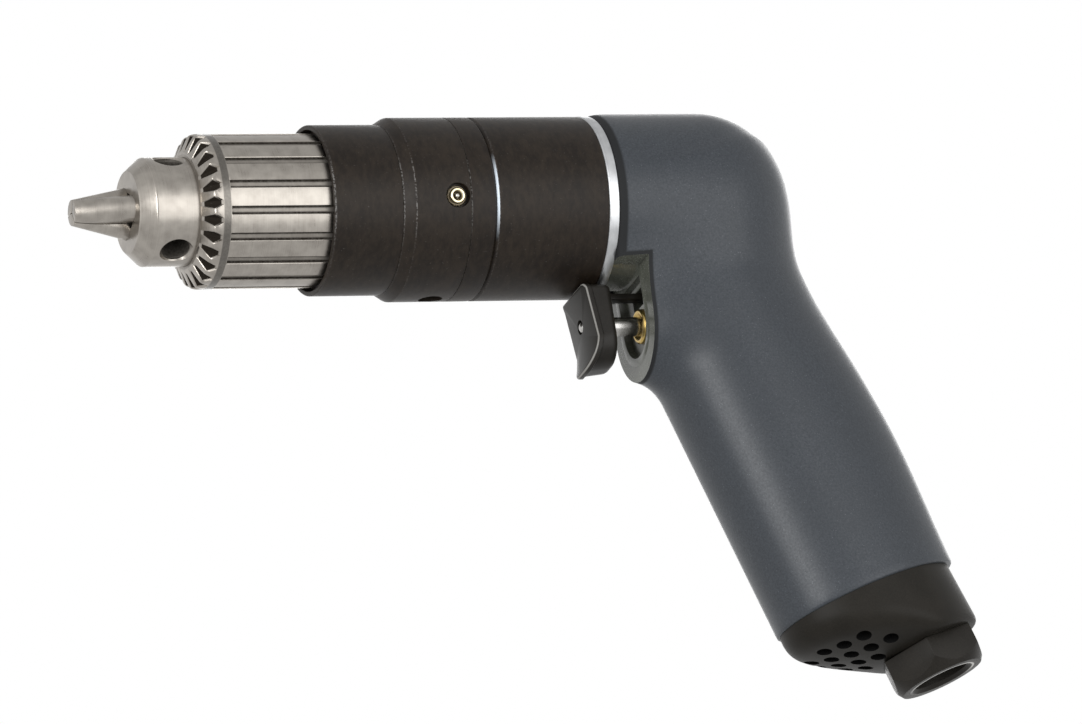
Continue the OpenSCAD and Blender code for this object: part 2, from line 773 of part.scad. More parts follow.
module valve_seat() {
  color("goldenrod")
    difference() {
      handle_bar(passage_r - seat, -inlet_set, 0, seat_L, seat_rear_L);
      handle_bar(3.6, -inlet_set, 0, seat_L - over, seat_rear_L + over);
    }
}

// tilt valve: the stem stands up beside the end of the throttle rod
module valve_stem() {
  color("silver")
    union() {
      handle_bar(stem_r, -inlet_set, 0, rod_L - 2, head_L + 0.6);
      handle_bar(head_r, -inlet_set, 0, head_L, head_L + 1.2);
    }
}

module valve_face() {
  color("dimgrey")
    difference() {
      handle_bar(head_r, -inlet_set, 0, seat_rear_L + 0.1, head_L);
      handle_bar(stem_r + seat, -inlet_set, 0, seat_rear_L - over, head_L + over);
    }
}

// coil spring under the valve head, closed by small end caps
module valve_spring() {
  turns = 7;
  steps = 12 * turns;
  sides = 6;
  low = head_L + 1.2 + wire_r + 0.05;
  high = screen_L - wire_r - 0.05;
  points = [for (i = [0 : steps], k = [0 : sides - 1])
    let (a = 360 * turns * i / steps, b = 360 * k / sides, r = spring_r + wire_r * cos(b),
         z = low + (high - low) * i / steps + wire_r * sin(b))
    [r * cos(a), r * sin(a), z]];
  walls = [for (i = [0 : steps - 1], k = [0 : sides - 1])
    let (a = i * sides + k, b = i * sides + (k + 1) % sides)
    each [[a, b, b + sides], [a, b + sides, a + sides]]];
  color("silver")
    in_handle()
      translate([-inlet_set, 0, 0])
        polyhedron(points = points,
          faces = concat(walls,
            [[for (k = [sides - 1 : -1 : 0]) k]],
            [[for (k = [0 : sides - 1]) steps * sides + k]]));
}

module inlet_screen() {
  color("silver")
    difference() {
      handle_bar(spigot_in_r - 0.05, -inlet_set, 0, screen_L, screen_L + 0.8);
      for (k = [0 : 5])
        handle_bar(1.2, -inlet_set + 3.6 * cos(60 * k), 3.6 * sin(60 * k), screen_L - over, screen_L + 2);
      handle_bar(1.2, -inlet_set, 0, screen_L - over, screen_L + 2);
    }
}

seal_L = handle_length - 5;

// the hexagon has turned corners, a countersunk mouth and a grooved spigot
module inlet_bushing() {
  color("black")
    in_handle()
      translate([-inlet_set, 0, 0])
        difference() {
          union() {
            rotate_extrude()
              polygon([[0, screen_L + 0.8], [spigot_in_r, screen_L + 0.8], [spigot_in_r, seal_L - 0.8],
                [spigot_in_r - 1, seal_L - 0.8], [spigot_in_r - 1, seal_L + 0.8], [spigot_in_r, seal_L + 0.8],
                [spigot_in_r, cap_end], [0, cap_end]]);
            intersection() {
              translate([0, 0, cap_end])
                linear_extrude(height = hex_length)
                  polygon([for (k = [0 : 5]) hex_af / 2 / cos(30) * [cos(60 * k - 6), sin(60 * k - 6)]]);
              rotate_extrude()
                polygon([[0, cap_end], [hex_af / 2 + 1.5, cap_end],
                  [hex_af / 2 + 1.5, cap_end + hex_length - 1.4], [hex_af / 2 - 0.6, cap_end + hex_length],
                  [0, cap_end + hex_length]]);
            }
          }
          translate([0, 0, screen_L])
            cylinder(r = inlet_r, h = 60);
          rotate_extrude()
            polygon([[0, cap_end + hex_length - 0.8], [inlet_r, cap_end + hex_length - 0.8],
              [inlet_r + 1.8, cap_end + hex_length + over], [0, cap_end + hex_length + over]]);
        }
}

module inlet_seal() {
  color("dimgrey")
    in_handle()
      translate([-inlet_set, 0, seal_L])
        rotate_extrude()
          translate([spigot_in_r - 0.5, 0])
            circle(r = 0.48);
}

// a long round bar whose lowest line is the middle of the vented face, drawn in by a distance
module vent_round(inset) {
  in_handle()
    translate([face_q1, 0, face_L1])
      rotate([0, -90 + face_angle, 0])
        translate([-cap_round, 0, -40])
          cylinder(r = cap_round - inset, h = 120);
}

// the cap goes on with the outline of the handle, cut off aslant and rounded across
module exhaust_cap() {
  color("black")
    difference() {
      intersection() {
        oval_bar(cap_inset, handle_length, cap_end, 14);
        vent_round(0);
      }
      difference() {
        intersection() {
          oval_bar(cap_inset + cap_wall, handle_length - over, cap_end - cap_wall, 10);
          vent_round(cap_wall);
        }
        handle_bar(spigot_in_r + 2.4, -inlet_set, 0, handle_length - 2, cap_end);
      }
      handle_bar(spigot_in_r + 0.05, -inlet_set, 0, handle_length - over, cap_end + over);
      in_handle()
        translate([face_q1, 0, face_L1])
          rotate([0, face_angle - 90, 0])
            for (row = [0 : 5])
              for (k = vent_row(row))
                translate([-9, -9.4 + 3.75 * row, 4.2 + vent_pitch * k])
                  rotate([0, 90, 0])
                    cylinder(r = vent_d / 2, h = 14);
    }
}

// places of the vents along each row, in pitches from the front
function vent_row(row) = [[1, 2], [0.5, 1.5], [0, 1, 2], [0.5, 1.5], [0, 1, 2], [0.5, 1.5]][row];

// sintered block that fills the cap behind the vents
module silencer() {
  color("darkgoldenrod")
    difference() {
      intersection() {
        oval_bar(cap_inset + cap_wall + 0.2, handle_length + 0.1, cap_end - cap_wall - 0.2, 10);
        vent_round(cap_wall + 0.2);
      }
      handle_bar(spigot_in_r + 2.6, -inlet_set, 0, handle_length - 2, cap_end);
    }
}

// spindle in one piece with the planet carrier: two plates joined by three webs
module spindle() {
  color("silver")
    difference() {
      union() {
        turned([[0, thread_floor + 0.6], [thread_d / 2 - 0.5, thread_floor + 0.6],
          [thread_d / 2 - seat, thread_floor + 1.1], [thread_d / 2 - seat, body_rear], [7, body_rear],
          [7, brg_front], [journal_r - seat, brg_front], [journal_r - seat, brg_rear], [bush_shaft_r, brg_rear],
          [bush_shaft_r, carrier_front], [carrier_r, carrier_front], [carrier_r, carrier_front + carrier_plate],
          [0, carrier_front + carrier_plate]]);
        tube(carrier_r, 5, planet_rear + end_gap, planet_rear + end_gap + carrier_back_plate);
        barrel()
          for (k = [0 : 2])
            rotate([0, 0, planet_clock + 60 + 120 * k])
              translate([gear_centre, -1.1, carrier_front + 1])
                cube([carrier_r - gear_centre - 0.4, 2.2, planet_rear + 1 - carrier_front]);
      }
      barrel()
        for (k = [0 : 2])
          rotate([0, 0, planet_clock + 120 * k])
            translate([gear_centre, 0, carrier_front + 0.8])
              cylinder(r = pin_r + seat, h = 40);
    }
}

module planet_pins() {
  color("silver")
    barrel()
      for (k = [0 : 2])
        rotate([0, 0, planet_clock + 120 * k])
          translate([gear_centre, 0, carrier_front + 0.9])
            cylinder(r = pin_r, h = planet_rear + carrier_back_plate - carrier_front - 0.8);
}

module planet(clock) {
  color("silver")
    barrel()
      rotate([0, 0, clock])
        translate([gear_centre, 0, planet_front])
          rotate([0, 0, 180 / planet_teeth])
            difference() {
              linear_extrude(height = planet_rear - planet_front)
                polygon(pinion_points(planet_teeth));
              translate([0, 0, -over])
                cylinder(r = pin_r + slip, h = 40);
            }
}

module planet_gear_1() {
  planet(planet_clock);
}

module planet_gear_2() {
  planet(planet_clock + 120);
}

module planet_gear_3() {
  planet(planet_clock + 240);
}

module ring_gear() {
  color("dimgrey")
    difference() {
      bar(ring_out_r, gear_seat, case_rear);
      barrel()
        translate([0, 0, gear_seat - over])
          rotate([0, 0, planet_clock])
            linear_extrude(height = 40)
              polygon(hollow_points());
      barrel()
        rotate([0, 0, fitting_clock])
          translate([8, 0, fitting_s])
            rotate([0, 90, 0])
              cylinder(r = 0.7, h = 12);
    }
}

module rotor_pinion() {
  color("silver")
    barrel()
      translate([0, 0, planet_front])
        rotate([0, 0, planet_clock])
          difference() {
            linear_extrude(height = planet_rear - planet_front)
              polygon(pinion_points(sun_teeth));
            translate([0, 0, -over])
              cylinder(r = stub_r + seat, h = 40);
          }
}

module spindle_bearing() {
  color("silver")
    bearing(journal_r, brg_r, brg_front, brg_rear, 9);
}

module spindle_bush() {
  color("goldenrod")
    tube(bush_out_r, bush_shaft_r + slip, brg_rear + 0.3, brg_rear + bush_pocket);
}

dowel_r = 1;
dowel_at = (motor_r + cylinder_bore_r - rotor_offset) / 2;

module dowel_hole(from, to) {
  translate([0, 0, -dowel_at])
    bar(dowel_r + seat, from, to);
}

module front_end_plate() {
  color("grey")
    difference() {
      turned([[front_brg_r + seat, plate_front], [ring_out_r - 0.02, plate_front],
        [ring_out_r - 0.02, cylinder_front], [shaft_r + 0.7, cylinder_front],
        [shaft_r + 0.7, plate_front + front_brg_width], [front_brg_r + seat, plate_front + front_brg_width]]);
      dowel_hole(cylinder_front - 3, cylinder_front + over);
    }
}

module rear_end_plate() {
  color("grey")
    difference() {
      turned([[tail_r + 0.4, cylinder_rear], [motor_r, cylinder_rear], [motor_r, plate_rear],
        [rear_brg_r + seat, plate_rear], [rear_brg_r + seat, cylinder_rear + plate_web],
        [tail_r + 0.4, cylinder_rear + plate_web]]);
      dowel_hole(cylinder_rear - over, cylinder_rear + 3);
    }
}

module front_rotor_bearing() {
  color("silver")
    bearing(shaft_r + seat, front_brg_r, plate_front, plate_front + front_brg_width, 7);
}

module rear_rotor_bearing() {
  color("silver")
    bearing(tail_r + seat, rear_brg_r, cylinder_rear + plate_web, plate_rear, 7);
}

// the bore stands above the rotor, so that the chambers open and close as it turns
module motor_cylinder() {
  color("grey")
    difference() {
      bar(motor_r, cylinder_front, cylinder_rear);
      translate([0, 0, rotor_offset])
        bar(cylinder_bore_r, cylinder_front - over, cylinder_rear + over);
      dowel_hole(cylinder_front - over, cylinder_rear + over);
      for (k = [0 : 3])
        translate([-cylinder_front - 7 - 6 * k, -20, -4])
          cube([2.4, 12, 6]);
    }
}

module cylinder_dowel() {
  color("silver")
    translate([0, 0, -dowel_at])
      bar(dowel_r, cylinder_front - 2.8, cylinder_rear + 2.8);
}

module rotor() {
  color("silver")
    difference() {
      turned([[0, planet_front], [stub_r, planet_front], [stub_r, case_rear - 0.1], [shaft_r, case_rear - 0.1],
        [shaft_r, cylinder_front + 0.2], [rotor_r, cylinder_front + 0.2], [rotor_r, cylinder_rear - 0.2],
        [tail_r, cylinder_rear - 0.2], [tail_r, plate_rear], [0, plate_rear]]);
      barrel()
        for (k = [0 : vane_count - 1])
          rotate([0, 0, 45 + 360 * k / vane_count])
            translate([rotor_r - slot_depth, -slot_width / 2, cylinder_front])
              cube([slot_depth + over, slot_width, cylinder_rear - cylinder_front]);
    }
}

// the vanes lie in their slots, flush with the rotor
module vanes() {
  color("saddlebrown")
    barrel()
      for (k = [0 : vane_count - 1])
        rotate([0, 0, 45 + 360 * k / vane_count])
          translate([rotor_r - slot_depth + 0.2, -slot_width / 2 + 0.05, cylinder_front + 0.3])
            cube([slot_depth - 0.4, slot_width - 0.1, cylinder_rear - cylinder_front - 0.6]);
}

chuck_jaw_1();
chuck_jaw_2();
chuck_jaw_3();
chuck_body();
chuck_sleeve();
chuck_nut();
nose_cap();
gear_case();
grease_fitting();
grease_ball();
locking_ring();
motor_housing();
handle_housing();
grip_cover();
trigger();
throttle_rod();
throttle_bush();
rod_seal();
valve_seat();
valve_stem();
valve_face();
valve_spring();
inlet_screen();
inlet_bushing();
inlet_seal();
exhaust_cap();
silencer();
spindle();
planet_pins();
spindle_bearing();
spindle_bush();
ring_gear();
planet_gear_1();
planet_gear_2();
planet_gear_3();
rotor_pinion();
front_end_plate();
rear_end_plate();
front_rotor_bearing();
rear_rotor_bearing();
motor_cylinder();
cylinder_dowel();
rotor();
vanes();
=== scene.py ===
# %% [markdown]
# # A pistol-grip air drill
# The drill is seen from low on its left, with the chuck to the left of the picture.
# The solid model is loaded first and stays as it is. Visible pieces are then built again with finer
# surfaces, each in the place of its solid, and every surface gets a finish made of nodes.

# %% Load the solid model and set up the units
import json
import math

import bmesh
import bpy
import numpy as np
from mathutils import Matrix, Vector


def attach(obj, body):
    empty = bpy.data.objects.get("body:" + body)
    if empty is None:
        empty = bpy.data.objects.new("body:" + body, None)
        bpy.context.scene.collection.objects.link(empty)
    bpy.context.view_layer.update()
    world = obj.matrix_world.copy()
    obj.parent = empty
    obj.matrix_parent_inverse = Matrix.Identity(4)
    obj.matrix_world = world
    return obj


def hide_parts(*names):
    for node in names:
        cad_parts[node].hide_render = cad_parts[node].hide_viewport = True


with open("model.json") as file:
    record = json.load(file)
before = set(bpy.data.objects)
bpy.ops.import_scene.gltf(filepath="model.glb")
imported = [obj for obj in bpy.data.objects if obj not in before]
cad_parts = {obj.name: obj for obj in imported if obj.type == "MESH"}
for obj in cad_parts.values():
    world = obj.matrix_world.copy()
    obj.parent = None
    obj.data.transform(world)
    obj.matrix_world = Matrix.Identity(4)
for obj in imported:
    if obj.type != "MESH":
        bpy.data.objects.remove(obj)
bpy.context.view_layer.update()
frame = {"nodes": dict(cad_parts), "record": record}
scene = bpy.context.scene
MM = 0.001

# %% [markdown]
# ## Sizes
# A station is a distance in millimetres behind the jaw tips, so x is minus the station.
# A clock angle turns from the top (+Z) to the left side (+Y). The handle has its own two numbers:
# q forward and L down along its axis. The sizes repeat those of the solid model. Names that end in _R are
# radii, other names are stations or lengths, and FIT is the gap that is left between neighbours.

# %% Sizes that several pieces share
NOSE_FACE, KEY_S, SLEEVE_FRONT, TEETH_REAR, FLUTE_FRONT = 11.7, 19.6, 23.6, 27.3, 28.82
LAND_FRONT, SLEEVE_REAR = 31.6, 51.04
CHUCK_R, TOOTH_TIP_R, SLEEVE_R = 11.1, 12.05, 15.75
RIM_FRONT, NOSE_REAR, CASE_REAR, RING_REAR, MOTOR_REAR = 50.14, 64.94, 79.14, 84.64, 109.04
RECESS_R, NOSE_R, CASE_R, SPIGOT_R, GRIP_R = 16.45, 17.45, 18.85, 17.3, 19.35
FLANGE_REAR, FRAME_S, HANDLE_S, ROD_DROP = 111.1426, 117.4426, 129.4426, 26.5
HANDLE_TILT, HANDLE_LENGTH, CAP_END, MOUTH_L, INLET_SET = math.radians(18), 92.5, 106.0, 113.2, 8.2
TILT_SIN, TILT_COS = math.sin(HANDLE_TILT), math.cos(HANDLE_TILT)
FIT = 0.02


def at_clock(radius, clock, station):
    """A point in millimetres from its radius, clock angle in degrees and station."""
    turn = math.radians(clock)
    return Vector((-station, radius * math.sin(turn), radius * math.cos(turn)))


def in_handle(q, y, length):
    """Handle numbers to x, y, z in millimetres, for numbers or arrays."""
    return -(HANDLE_S + length * TILT_SIN - q * TILT_COS), y, -length * TILT_COS - q * TILT_SIN


def handle_numbers(station, z):
    """Station and height to the handle's q and L, for numbers, arrays or shader values."""
    behind = station - HANDLE_S
    return behind * -TILT_COS - z * TILT_SIN, behind * TILT_SIN - z * TILT_COS


HANDLE_FRAME = Matrix((
    (TILT_COS, 0, -TILT_SIN, -HANDLE_S),
    (0, -1, 0, 0),
    (-TILT_SIN, 0, -TILT_COS, 0),
    (0, 0, 0, 1)))
print("inlet mouth at", [round(v, 1) for v in in_handle(-INLET_SET, 0, MOUTH_L)])

# %% [markdown]
# ## The camera
# The picture was taken from low on the left, a little ahead of the tool and slightly rolled. The three
# directions below are the picture's right, its up and the way back to the camera, in the tool's own frame.
# A long lens keeps the weak perspective of a product picture.

# %% Camera
PICTURE_WIDTH, PIXELS_PER_METRE, SENSOR_WIDTH, CAMERA_DISTANCE = 1082, 4900, 36, 1.8
view_right = Vector((-0.937, 0.318, -0.145)).normalized()
view_back = view_right.cross(Vector((-0.0145, 0.379, 0.9255))).normalized()
view_up = view_back.cross(view_right)
aim = Vector((-95.7, 0.11, -34.02)) * MM
camera_data = bpy.data.cameras.new("camera")
camera_data.sensor_width, camera_data.clip_start = SENSOR_WIDTH, 0.01
camera_data.lens = SENSOR_WIDTH * PIXELS_PER_METRE * CAMERA_DISTANCE / PICTURE_WIDTH
camera = bpy.data.objects.new("camera", camera_data)
facing = Matrix((view_right, view_up, view_back)).transposed().to_4x4()
camera.matrix_world = Matrix.Translation(aim + view_back * CAMERA_DISTANCE) @ facing
scene.collection.objects.link(camera)
scene.camera = camera
print("lens", round(camera_data.lens, 1), "mm, camera at", [round(v, 3) for v in camera.location])

# %% [markdown]
# ## Floor and light
# A white cut-out picture has no visible floor. Seen from below, only the background shows, so the world is
# white for the camera and for reflections, and gives a plain level of light otherwise. A pale floor far below
# keeps the other views grounded. Soft lamps shape the form. The key is large and stands beside the camera on the
# handle's side, because a turned surface only mirrors light from there. A narrow one ahead of the tool draws the
# long sheen down the front of the grip, and one behind lights the far side.

# %% Lamps and floor
LAMP_DISTANCE, FLOOR_Z, FLOOR_HALF = 1.1, -1.5, 7.5


def soft_lamp(name, direction, size, power):
    """A rectangle of light that looks at the drill, with its size in metres and its power in watts."""
    data = bpy.data.lights.new(name, "AREA")
    data.shape, data.energy = "RECTANGLE", power
    data.size, data.size_y = size
    lamp = bpy.data.objects.new(name, data)
    lamp.location = aim + Vector(direction) * LAMP_DISTANCE
    lamp.rotation_euler = (aim - lamp.location).to_track_quat("-Z", "Y").to_euler()
    scene.collection.objects.link(lamp)
    print("lamp", name, "of", power, "W")


soft_lamp("key", (-0.35, 0.92, -0.17), (1.0, 0.95), 5.1)
soft_lamp("sheen", (0.75, 0.66, -0.01), (0.24, 0.62), 5.4)
soft_lamp("rear", (-0.5, -0.8, 0.45), (0.9, 0.7), 4)

corners = [(x * FLOOR_HALF, y * FLOOR_HALF, FLOOR_Z) for x, y in ((-1, -1), (1, -1), (1, 1), (-1, 1))]
floor_mesh = bpy.data.meshes.new("floor")
floor_mesh.from_pydata(corners, [], [(0, 1, 2, 3)])
floor = bpy.data.objects.new("floor", floor_mesh)
scene.collection.objects.link(floor)

# %% [markdown]
# ## Shader maths
# Node trees are hard to read as code. A small class wraps a socket, so that a line such as
# `grain * 0.4 + 0.3` adds the Math nodes by itself. Everything else goes through one function, `node`.

# %% A class for shader maths
class Tap:
    """One output socket of a node tree. Arithmetic on it adds Math nodes."""

    def __init__(self, tree, socket):
        self.tree, self.socket = tree, socket

    def maths(self, operation, *values):
        return node(self.tree, "ShaderNodeMath", {"operation": operation}, dict(enumerate(values)))

    def __add__(self, other): return self.maths("ADD", self, other)
    def __radd__(self, other): return self.maths("ADD", other, self)
    def __sub__(self, other): return self.maths("SUBTRACT", self, other)
    def __rsub__(self, other): return self.maths("SUBTRACT", other, self)
    def __mul__(self, other): return self.maths("MULTIPLY", self, other)
    def __rmul__(self, other): return self.maths("MULTIPLY", other, self)
    def __truediv__(self, other): return self.maths("DIVIDE", self, other)
    def __pow__(self, other): return self.maths("POWER", self, other)
    def __abs__(self): return self.maths("ABSOLUTE", self)
    def lowest(self, other): return self.maths("MINIMUM", self, other)
    def highest(self, other): return self.maths("MAXIMUM", self, other)

    def between(self, low, high):
        """0 below low, 1 above high, smooth in between; low above high turns it round."""
        settings = {"interpolation_type": "SMOOTHSTEP", "clamp": True}
        return node(self.tree, "ShaderNodeMapRange", settings, {"Value": self, "From Min": low, "From Max": high})

    def band(self, start, full, fading, end):
        """1 from full to fading, 0 before start and after end."""
        return self.between(start, full) * self.between(end, fading)

    def line(self, place, reach, core):
        """1 within core of a place, 0 beyond its reach."""
        return abs(self - place).between(reach, core)

    def mix(self, a, b):
        """Colour a where this is 0, colour b where it is 1."""
        return node(self.tree, "ShaderNodeMix", {"data_type": "RGBA"}, {0: self, 6: a, 7: b}, output=2)


def node(tree, kind, settings=None, values=None, output=0):
    """Adds a node, sets it up, fills or links its sockets and wraps one output."""
    made = tree.nodes.new(kind)
    for name, value in (settings or {}).items():
        setattr(made, name, value)
    for name, value in (values or {}).items():
        socket = made.inputs[name]
        if isinstance(value, Tap):
            tree.links.new(value.socket, socket)
        elif isinstance(value, tuple) and len(value) == 3 and socket.type == "RGBA":
            socket.default_value = (*value, 1)
        else:
            socket.default_value = value
    return Tap(tree, made.outputs[output])


print("shader maths ready")

# %% [markdown]
# A finish is a material that is still being made. It keeps the shader and the Object coordinates at hand, so
# that a pattern is one call with the size of its cells in millimetres.

# %% A class for finishes
class Finish:
    """A material under construction, with the coordinates that its patterns read."""

    def __init__(self, name, **fixed):
        self.material = bpy.data.materials.new(name)
        self.material.use_nodes = True
        self.tree = self.material.node_tree
        self.shader = self.tree.nodes["Principled BSDF"]
        self.place = self.node("ShaderNodeTexCoord", output="Object")
        for socket, value in fixed.items():
            self.shader.inputs[socket.replace("_", " ")].default_value = value

    def node(self, kind, settings=None, values=None, output=0):
        return node(self.tree, kind, settings, values, output)

    def set(self, **sockets):
        """Links what varies over the surface to the shader."""
        for name, value in sockets.items():
            self.tree.links.new(value.socket, self.shader.inputs[name.replace("_", " ")])

    def so_far(self, name):
        """What a socket of the shader has been linked to."""
        return Tap(self.tree, self.shader.inputs[name].links[0].from_socket)

    def axis(self, index):
        """x, y or z of the piece in millimetres."""
        return self.node("ShaderNodeSeparateXYZ", None, {0: self.place}, index) * 1000.0

    def station(self):
        return self.axis(0) * -1.0

    def stretched(self, x, y, z):
        """Coordinates with cells of the given size in millimetres along each axis."""
        return self.node("ShaderNodeMapping", None, {"Vector": self.place, "Scale": (1000 / x, 1000 / y, 1000 / z)})

    def noise(self, x, y=None, z=None, detail=2.0, rough=0.5):
        cells = self.stretched(x, y or x, z or x)
        return self.node("ShaderNodeTexNoise", None,
                         {"Vector": cells, "Scale": 1.0, "Detail": detail, "Roughness": rough})

    def cells(self, size):
        return self.node("ShaderNodeTexVoronoi", None, {"Vector": self.stretched(size, size, size), "Scale": 1.0})

    def bump(self, height, strength, depth):
        self.set(Normal=self.node("ShaderNodeBump", None,
                                  {"Strength": strength, "Distance": depth * MM, "Height": height}))


print("finishes ready")

# %% [markdown]
# ## Metal finishes
# Turned steel has fine rings round the axis, so its noise is squeezed along x and long round the piece.
# The tooth gaps, the grooves, darkest at their walls, and the key holes, which are found from the radius and the
# station, are darkened as dirt and as painted shade.
# A narrow band behind the teeth, where the cutter ran out, stays dull.

# %% Steel, brass and aluminium
FLUTES, FLUTE_CLOCK, TOOTH_RISE = 18, 112, 2.133


def turned_metal(name, colour, dark, rough, **fixed):
    """A lathe finish about the spindle axis."""
    finish = Finish(name, Metallic=1.0, **fixed)
    rings, smear = finish.noise(0.09, 14, 14, detail=3), finish.noise(2.5, detail=4)
    tone = (rings * 0.35 + smear * 0.65).between(0.3, 0.7)
    finish.set(Base_Color=tone.mix(dark, colour), Roughness=rings * 0.16 + smear * 0.12 + (rough - 0.14))
    finish.bump(rings, 0.16, 0.02)
    return finish


def dirt_and_shade_in_hollows(station, radius, clock):
    """Where the steel is darkened, as dirt held there and as painted shade: the sides of the flutes, the tooth gaps and
    the key holes.
    """
    flute = clock * (FLUTES / math.tau) - FLUTES * (FLUTE_CLOCK / 360 - 1) - 0.5
    off_middle = abs(flute.maths("FRACT", flute) - 0.5) * (math.tau * SLEEVE_R / FLUTES)
    groove = radius.between(SLEEVE_R - 0.08, SLEEVE_R - 0.3) * station.between(FLUTE_FRONT - 0.42, FLUTE_FRONT + 0.08)
    groove = groove * (off_middle.between(0.2, 0.62) * 0.6 + 0.3)
    tooth_top = ((station - SLEEVE_FRONT) * TOOTH_RISE + TOOTH_TIP_R).lowest(SLEEVE_R - 0.03)
    gap = (tooth_top - radius).between(0.26, 0.5)
    gap = gap * station.band(SLEEVE_FRONT - 0.1, SLEEVE_FRONT + 0.3, TEETH_REAR - 0.2, TEETH_REAR + 0.1)
    bore = radius.between(CHUCK_R - 0.35, CHUCK_R - 1.2) * 0.8
    bore = bore * station.band(KEY_S - 3.6, KEY_S - 3.1, KEY_S + 3.2, KEY_S + 3.6)
    return groove.highest(gap).highest(bore)


def chuck_finish():
    """Satin steel with dirt and painted shade in its hollows, and with the dull band behind the teeth."""
    finish = turned_metal("chuck_steel", (0.43, 0.40, 0.36), (0.315, 0.29, 0.26), 0.31, Specular_IOR_Level=0.12)
    y, z, station = finish.axis(1), finish.axis(2), finish.station()
    speck = finish.noise(0.5, detail=3)
    hollow_darkening = dirt_and_shade_in_hollows(station, (y * y + z * z) ** 0.5, y.maths("ARCTAN2", y, z))
    # Dirt and painted shade together darken the flute sides, the tooth gaps and the key holes.
    grime_and_shade = (hollow_darkening * (speck * 0.5 + 0.8)).lowest(1.0)
    relief = station.band(TEETH_REAR - 0.2, TEETH_REAR + 0.05, FLUTE_FRONT - 0.17, FLUTE_FRONT + 0.03)
    tone = (relief * (speck * 0.4 + 0.6)).mix(finish.so_far("Base Color"), (0.115, 0.108, 0.098))
    finish.set(Base_Color=grime_and_shade.mix(tone, (0.020, 0.016, 0.012)), Metallic=1 - grime_and_shade * 0.9,
               Roughness=finish.so_far("Roughness") * (1 - grime_and_shade) + grime_and_shade * 0.85)
    return finish.material


CHUCK_STEEL = chuck_finish()
GROUND_STEEL = turned_metal("ground_steel", (0.56, 0.55, 0.53), (0.42, 0.41, 0.39), 0.22).material
BRASS = turned_metal("turned_brass", (0.66, 0.48, 0.17), (0.40, 0.27, 0.08), 0.27).material
BARE_ALUMINIUM = turned_metal("bare_aluminium", (0.62, 0.63, 0.64), (0.46, 0.47, 0.48), 0.36).material
GREY_IRON = turned_metal("grey_iron", (0.30, 0.30, 0.31), (0.18, 0.18, 0.19), 0.45).material
print("metal finishes:", [m.name for m in (CHUCK_STEEL, GROUND_STEEL, BRASS, BARE_ALUMINIUM, GREY_IRON)])

# %% [markdown]
# ## Dark finishes
# The barrel is blackened steel: nearly black with a brown mottle, satin, with paler specks where it is worn.
# Its turned edges are worn pale, and made paler still in a band of height on its side as painted highlight; a pale
# metallic line on the chamfer behind the locking ring, in that band only, is also a painted highlight. The grip is a
# slate grey moulding with a fine sparkle; near black behind the flange and along the trigger frame is painted
# shade of its rounded front edge and of the gap by the frame. The cap and the trigger are black moulded plastic;
# the walls of the vents are near black as painted shade, and a pale line on the edge of the finger face is a
# painted highlight.

# %% Blackened barrel
def blackened():
    finish = Finish("blackened_barrel", IOR=1.5, Specular_IOR_Level=0.22)
    fine, cloud = finish.noise(0.35, detail=3), finish.noise(9, detail=3)
    rings, mottle = finish.noise(0.12, 22, 22, detail=2), finish.noise(1.2, 2.4, 2.4, detail=4, rough=0.65)
    station = finish.station()
    # A band of height on the barrel's side where light catches it: the edge wear is made paler there as painted
    # highlight.
    lit_band = finish.axis(2).band(-13, -8, 0, 5)
    edge = station.line(RIM_FRONT + 0.25, 0.3, 0.05)
    for place in (NOSE_REAR + 0.1, NOSE_REAR + 2.3, CASE_REAR, RING_REAR + 0.5):
        edge = edge.highest(station.line(place, 0.22, 0.03))
    speck = fine.between(0.66, 0.8) * 0.35
    wear_and_lit_edges = (edge * fine.between(0.42, 0.6) * (lit_band * 0.7 + 0.15)).highest(speck)
    # A pale metallic line on the chamfer behind the locking ring, only in that band: a painted highlight.
    painted_glint = station.line(RING_REAR + 0.27, 0.27, 0.14) * lit_band
    base = (cloud * 0.4 + mottle * 0.6).between(0.34, 0.66).mix((0.0086, 0.0056, 0.0036), (0.0225, 0.0160, 0.0108))
    base = wear_and_lit_edges.mix(base, (0.22, 0.21, 0.20))
    finish.set(Base_Color=painted_glint.mix(base, (0.56, 0.62, 0.68)), Metallic=painted_glint * 0.9,
               Roughness=cloud * 0.12 + fine * 0.14 + 0.33)
    finish.bump(rings * 0.5 + fine * 0.5, 0.12, 0.03)
    return finish.material


BARREL_BLACK = blackened()
print(BARREL_BLACK.name, "has", len(BARREL_BLACK.node_tree.nodes), "nodes")

# %% Slate grip
def slate_moulding():
    finish = Finish("slate_grip", IOR=1.46, Specular_IOR_Level=0.33)
    grain, cloud = finish.noise(0.42, detail=4, rough=0.7), finish.noise(14, detail=3)
    sparkle = finish.cells(0.5).between(0.22, 0.05) * finish.noise(1.1).between(0.45, 0.7)
    tone = grain.between(0.25, 0.75).mix((0.036, 0.0412, 0.0485), (0.064, 0.072, 0.083))
    tone = (cloud.between(0.3, 0.7) * 0.3).mix(tone, (0.045, 0.0503, 0.0575))
    tone = (sparkle * 0.55).mix(tone, (0.24, 0.26, 0.29))
    station = finish.station()
    # Near black behind the flange and along the trigger frame: painted shade of the rounded front edge of the grip and
    # of the gap by the frame.
    frame_gap_shade = station.between(FRAME_S + 1.1, FRAME_S + 0.6) * finish.axis(2).between(-14.9, -15.5)
    lip = station.between(FLANGE_REAR + 2.1, FLANGE_REAR + 1.4).highest(frame_gap_shade) * (grain * 0.3 + 0.7)
    finish.set(Base_Color=lip.mix(tone, (0.005, 0.005, 0.005)),
               Roughness=0.46 - grain * 0.20 - sparkle * 0.12 + lip * 0.4)
    finish.bump(grain, 0.22, 0.06)
    return finish.material


GRIP_SLATE = slate_moulding()
print(GRIP_SLATE.name, "has", len(GRIP_SLATE.node_tree.nodes), "nodes")

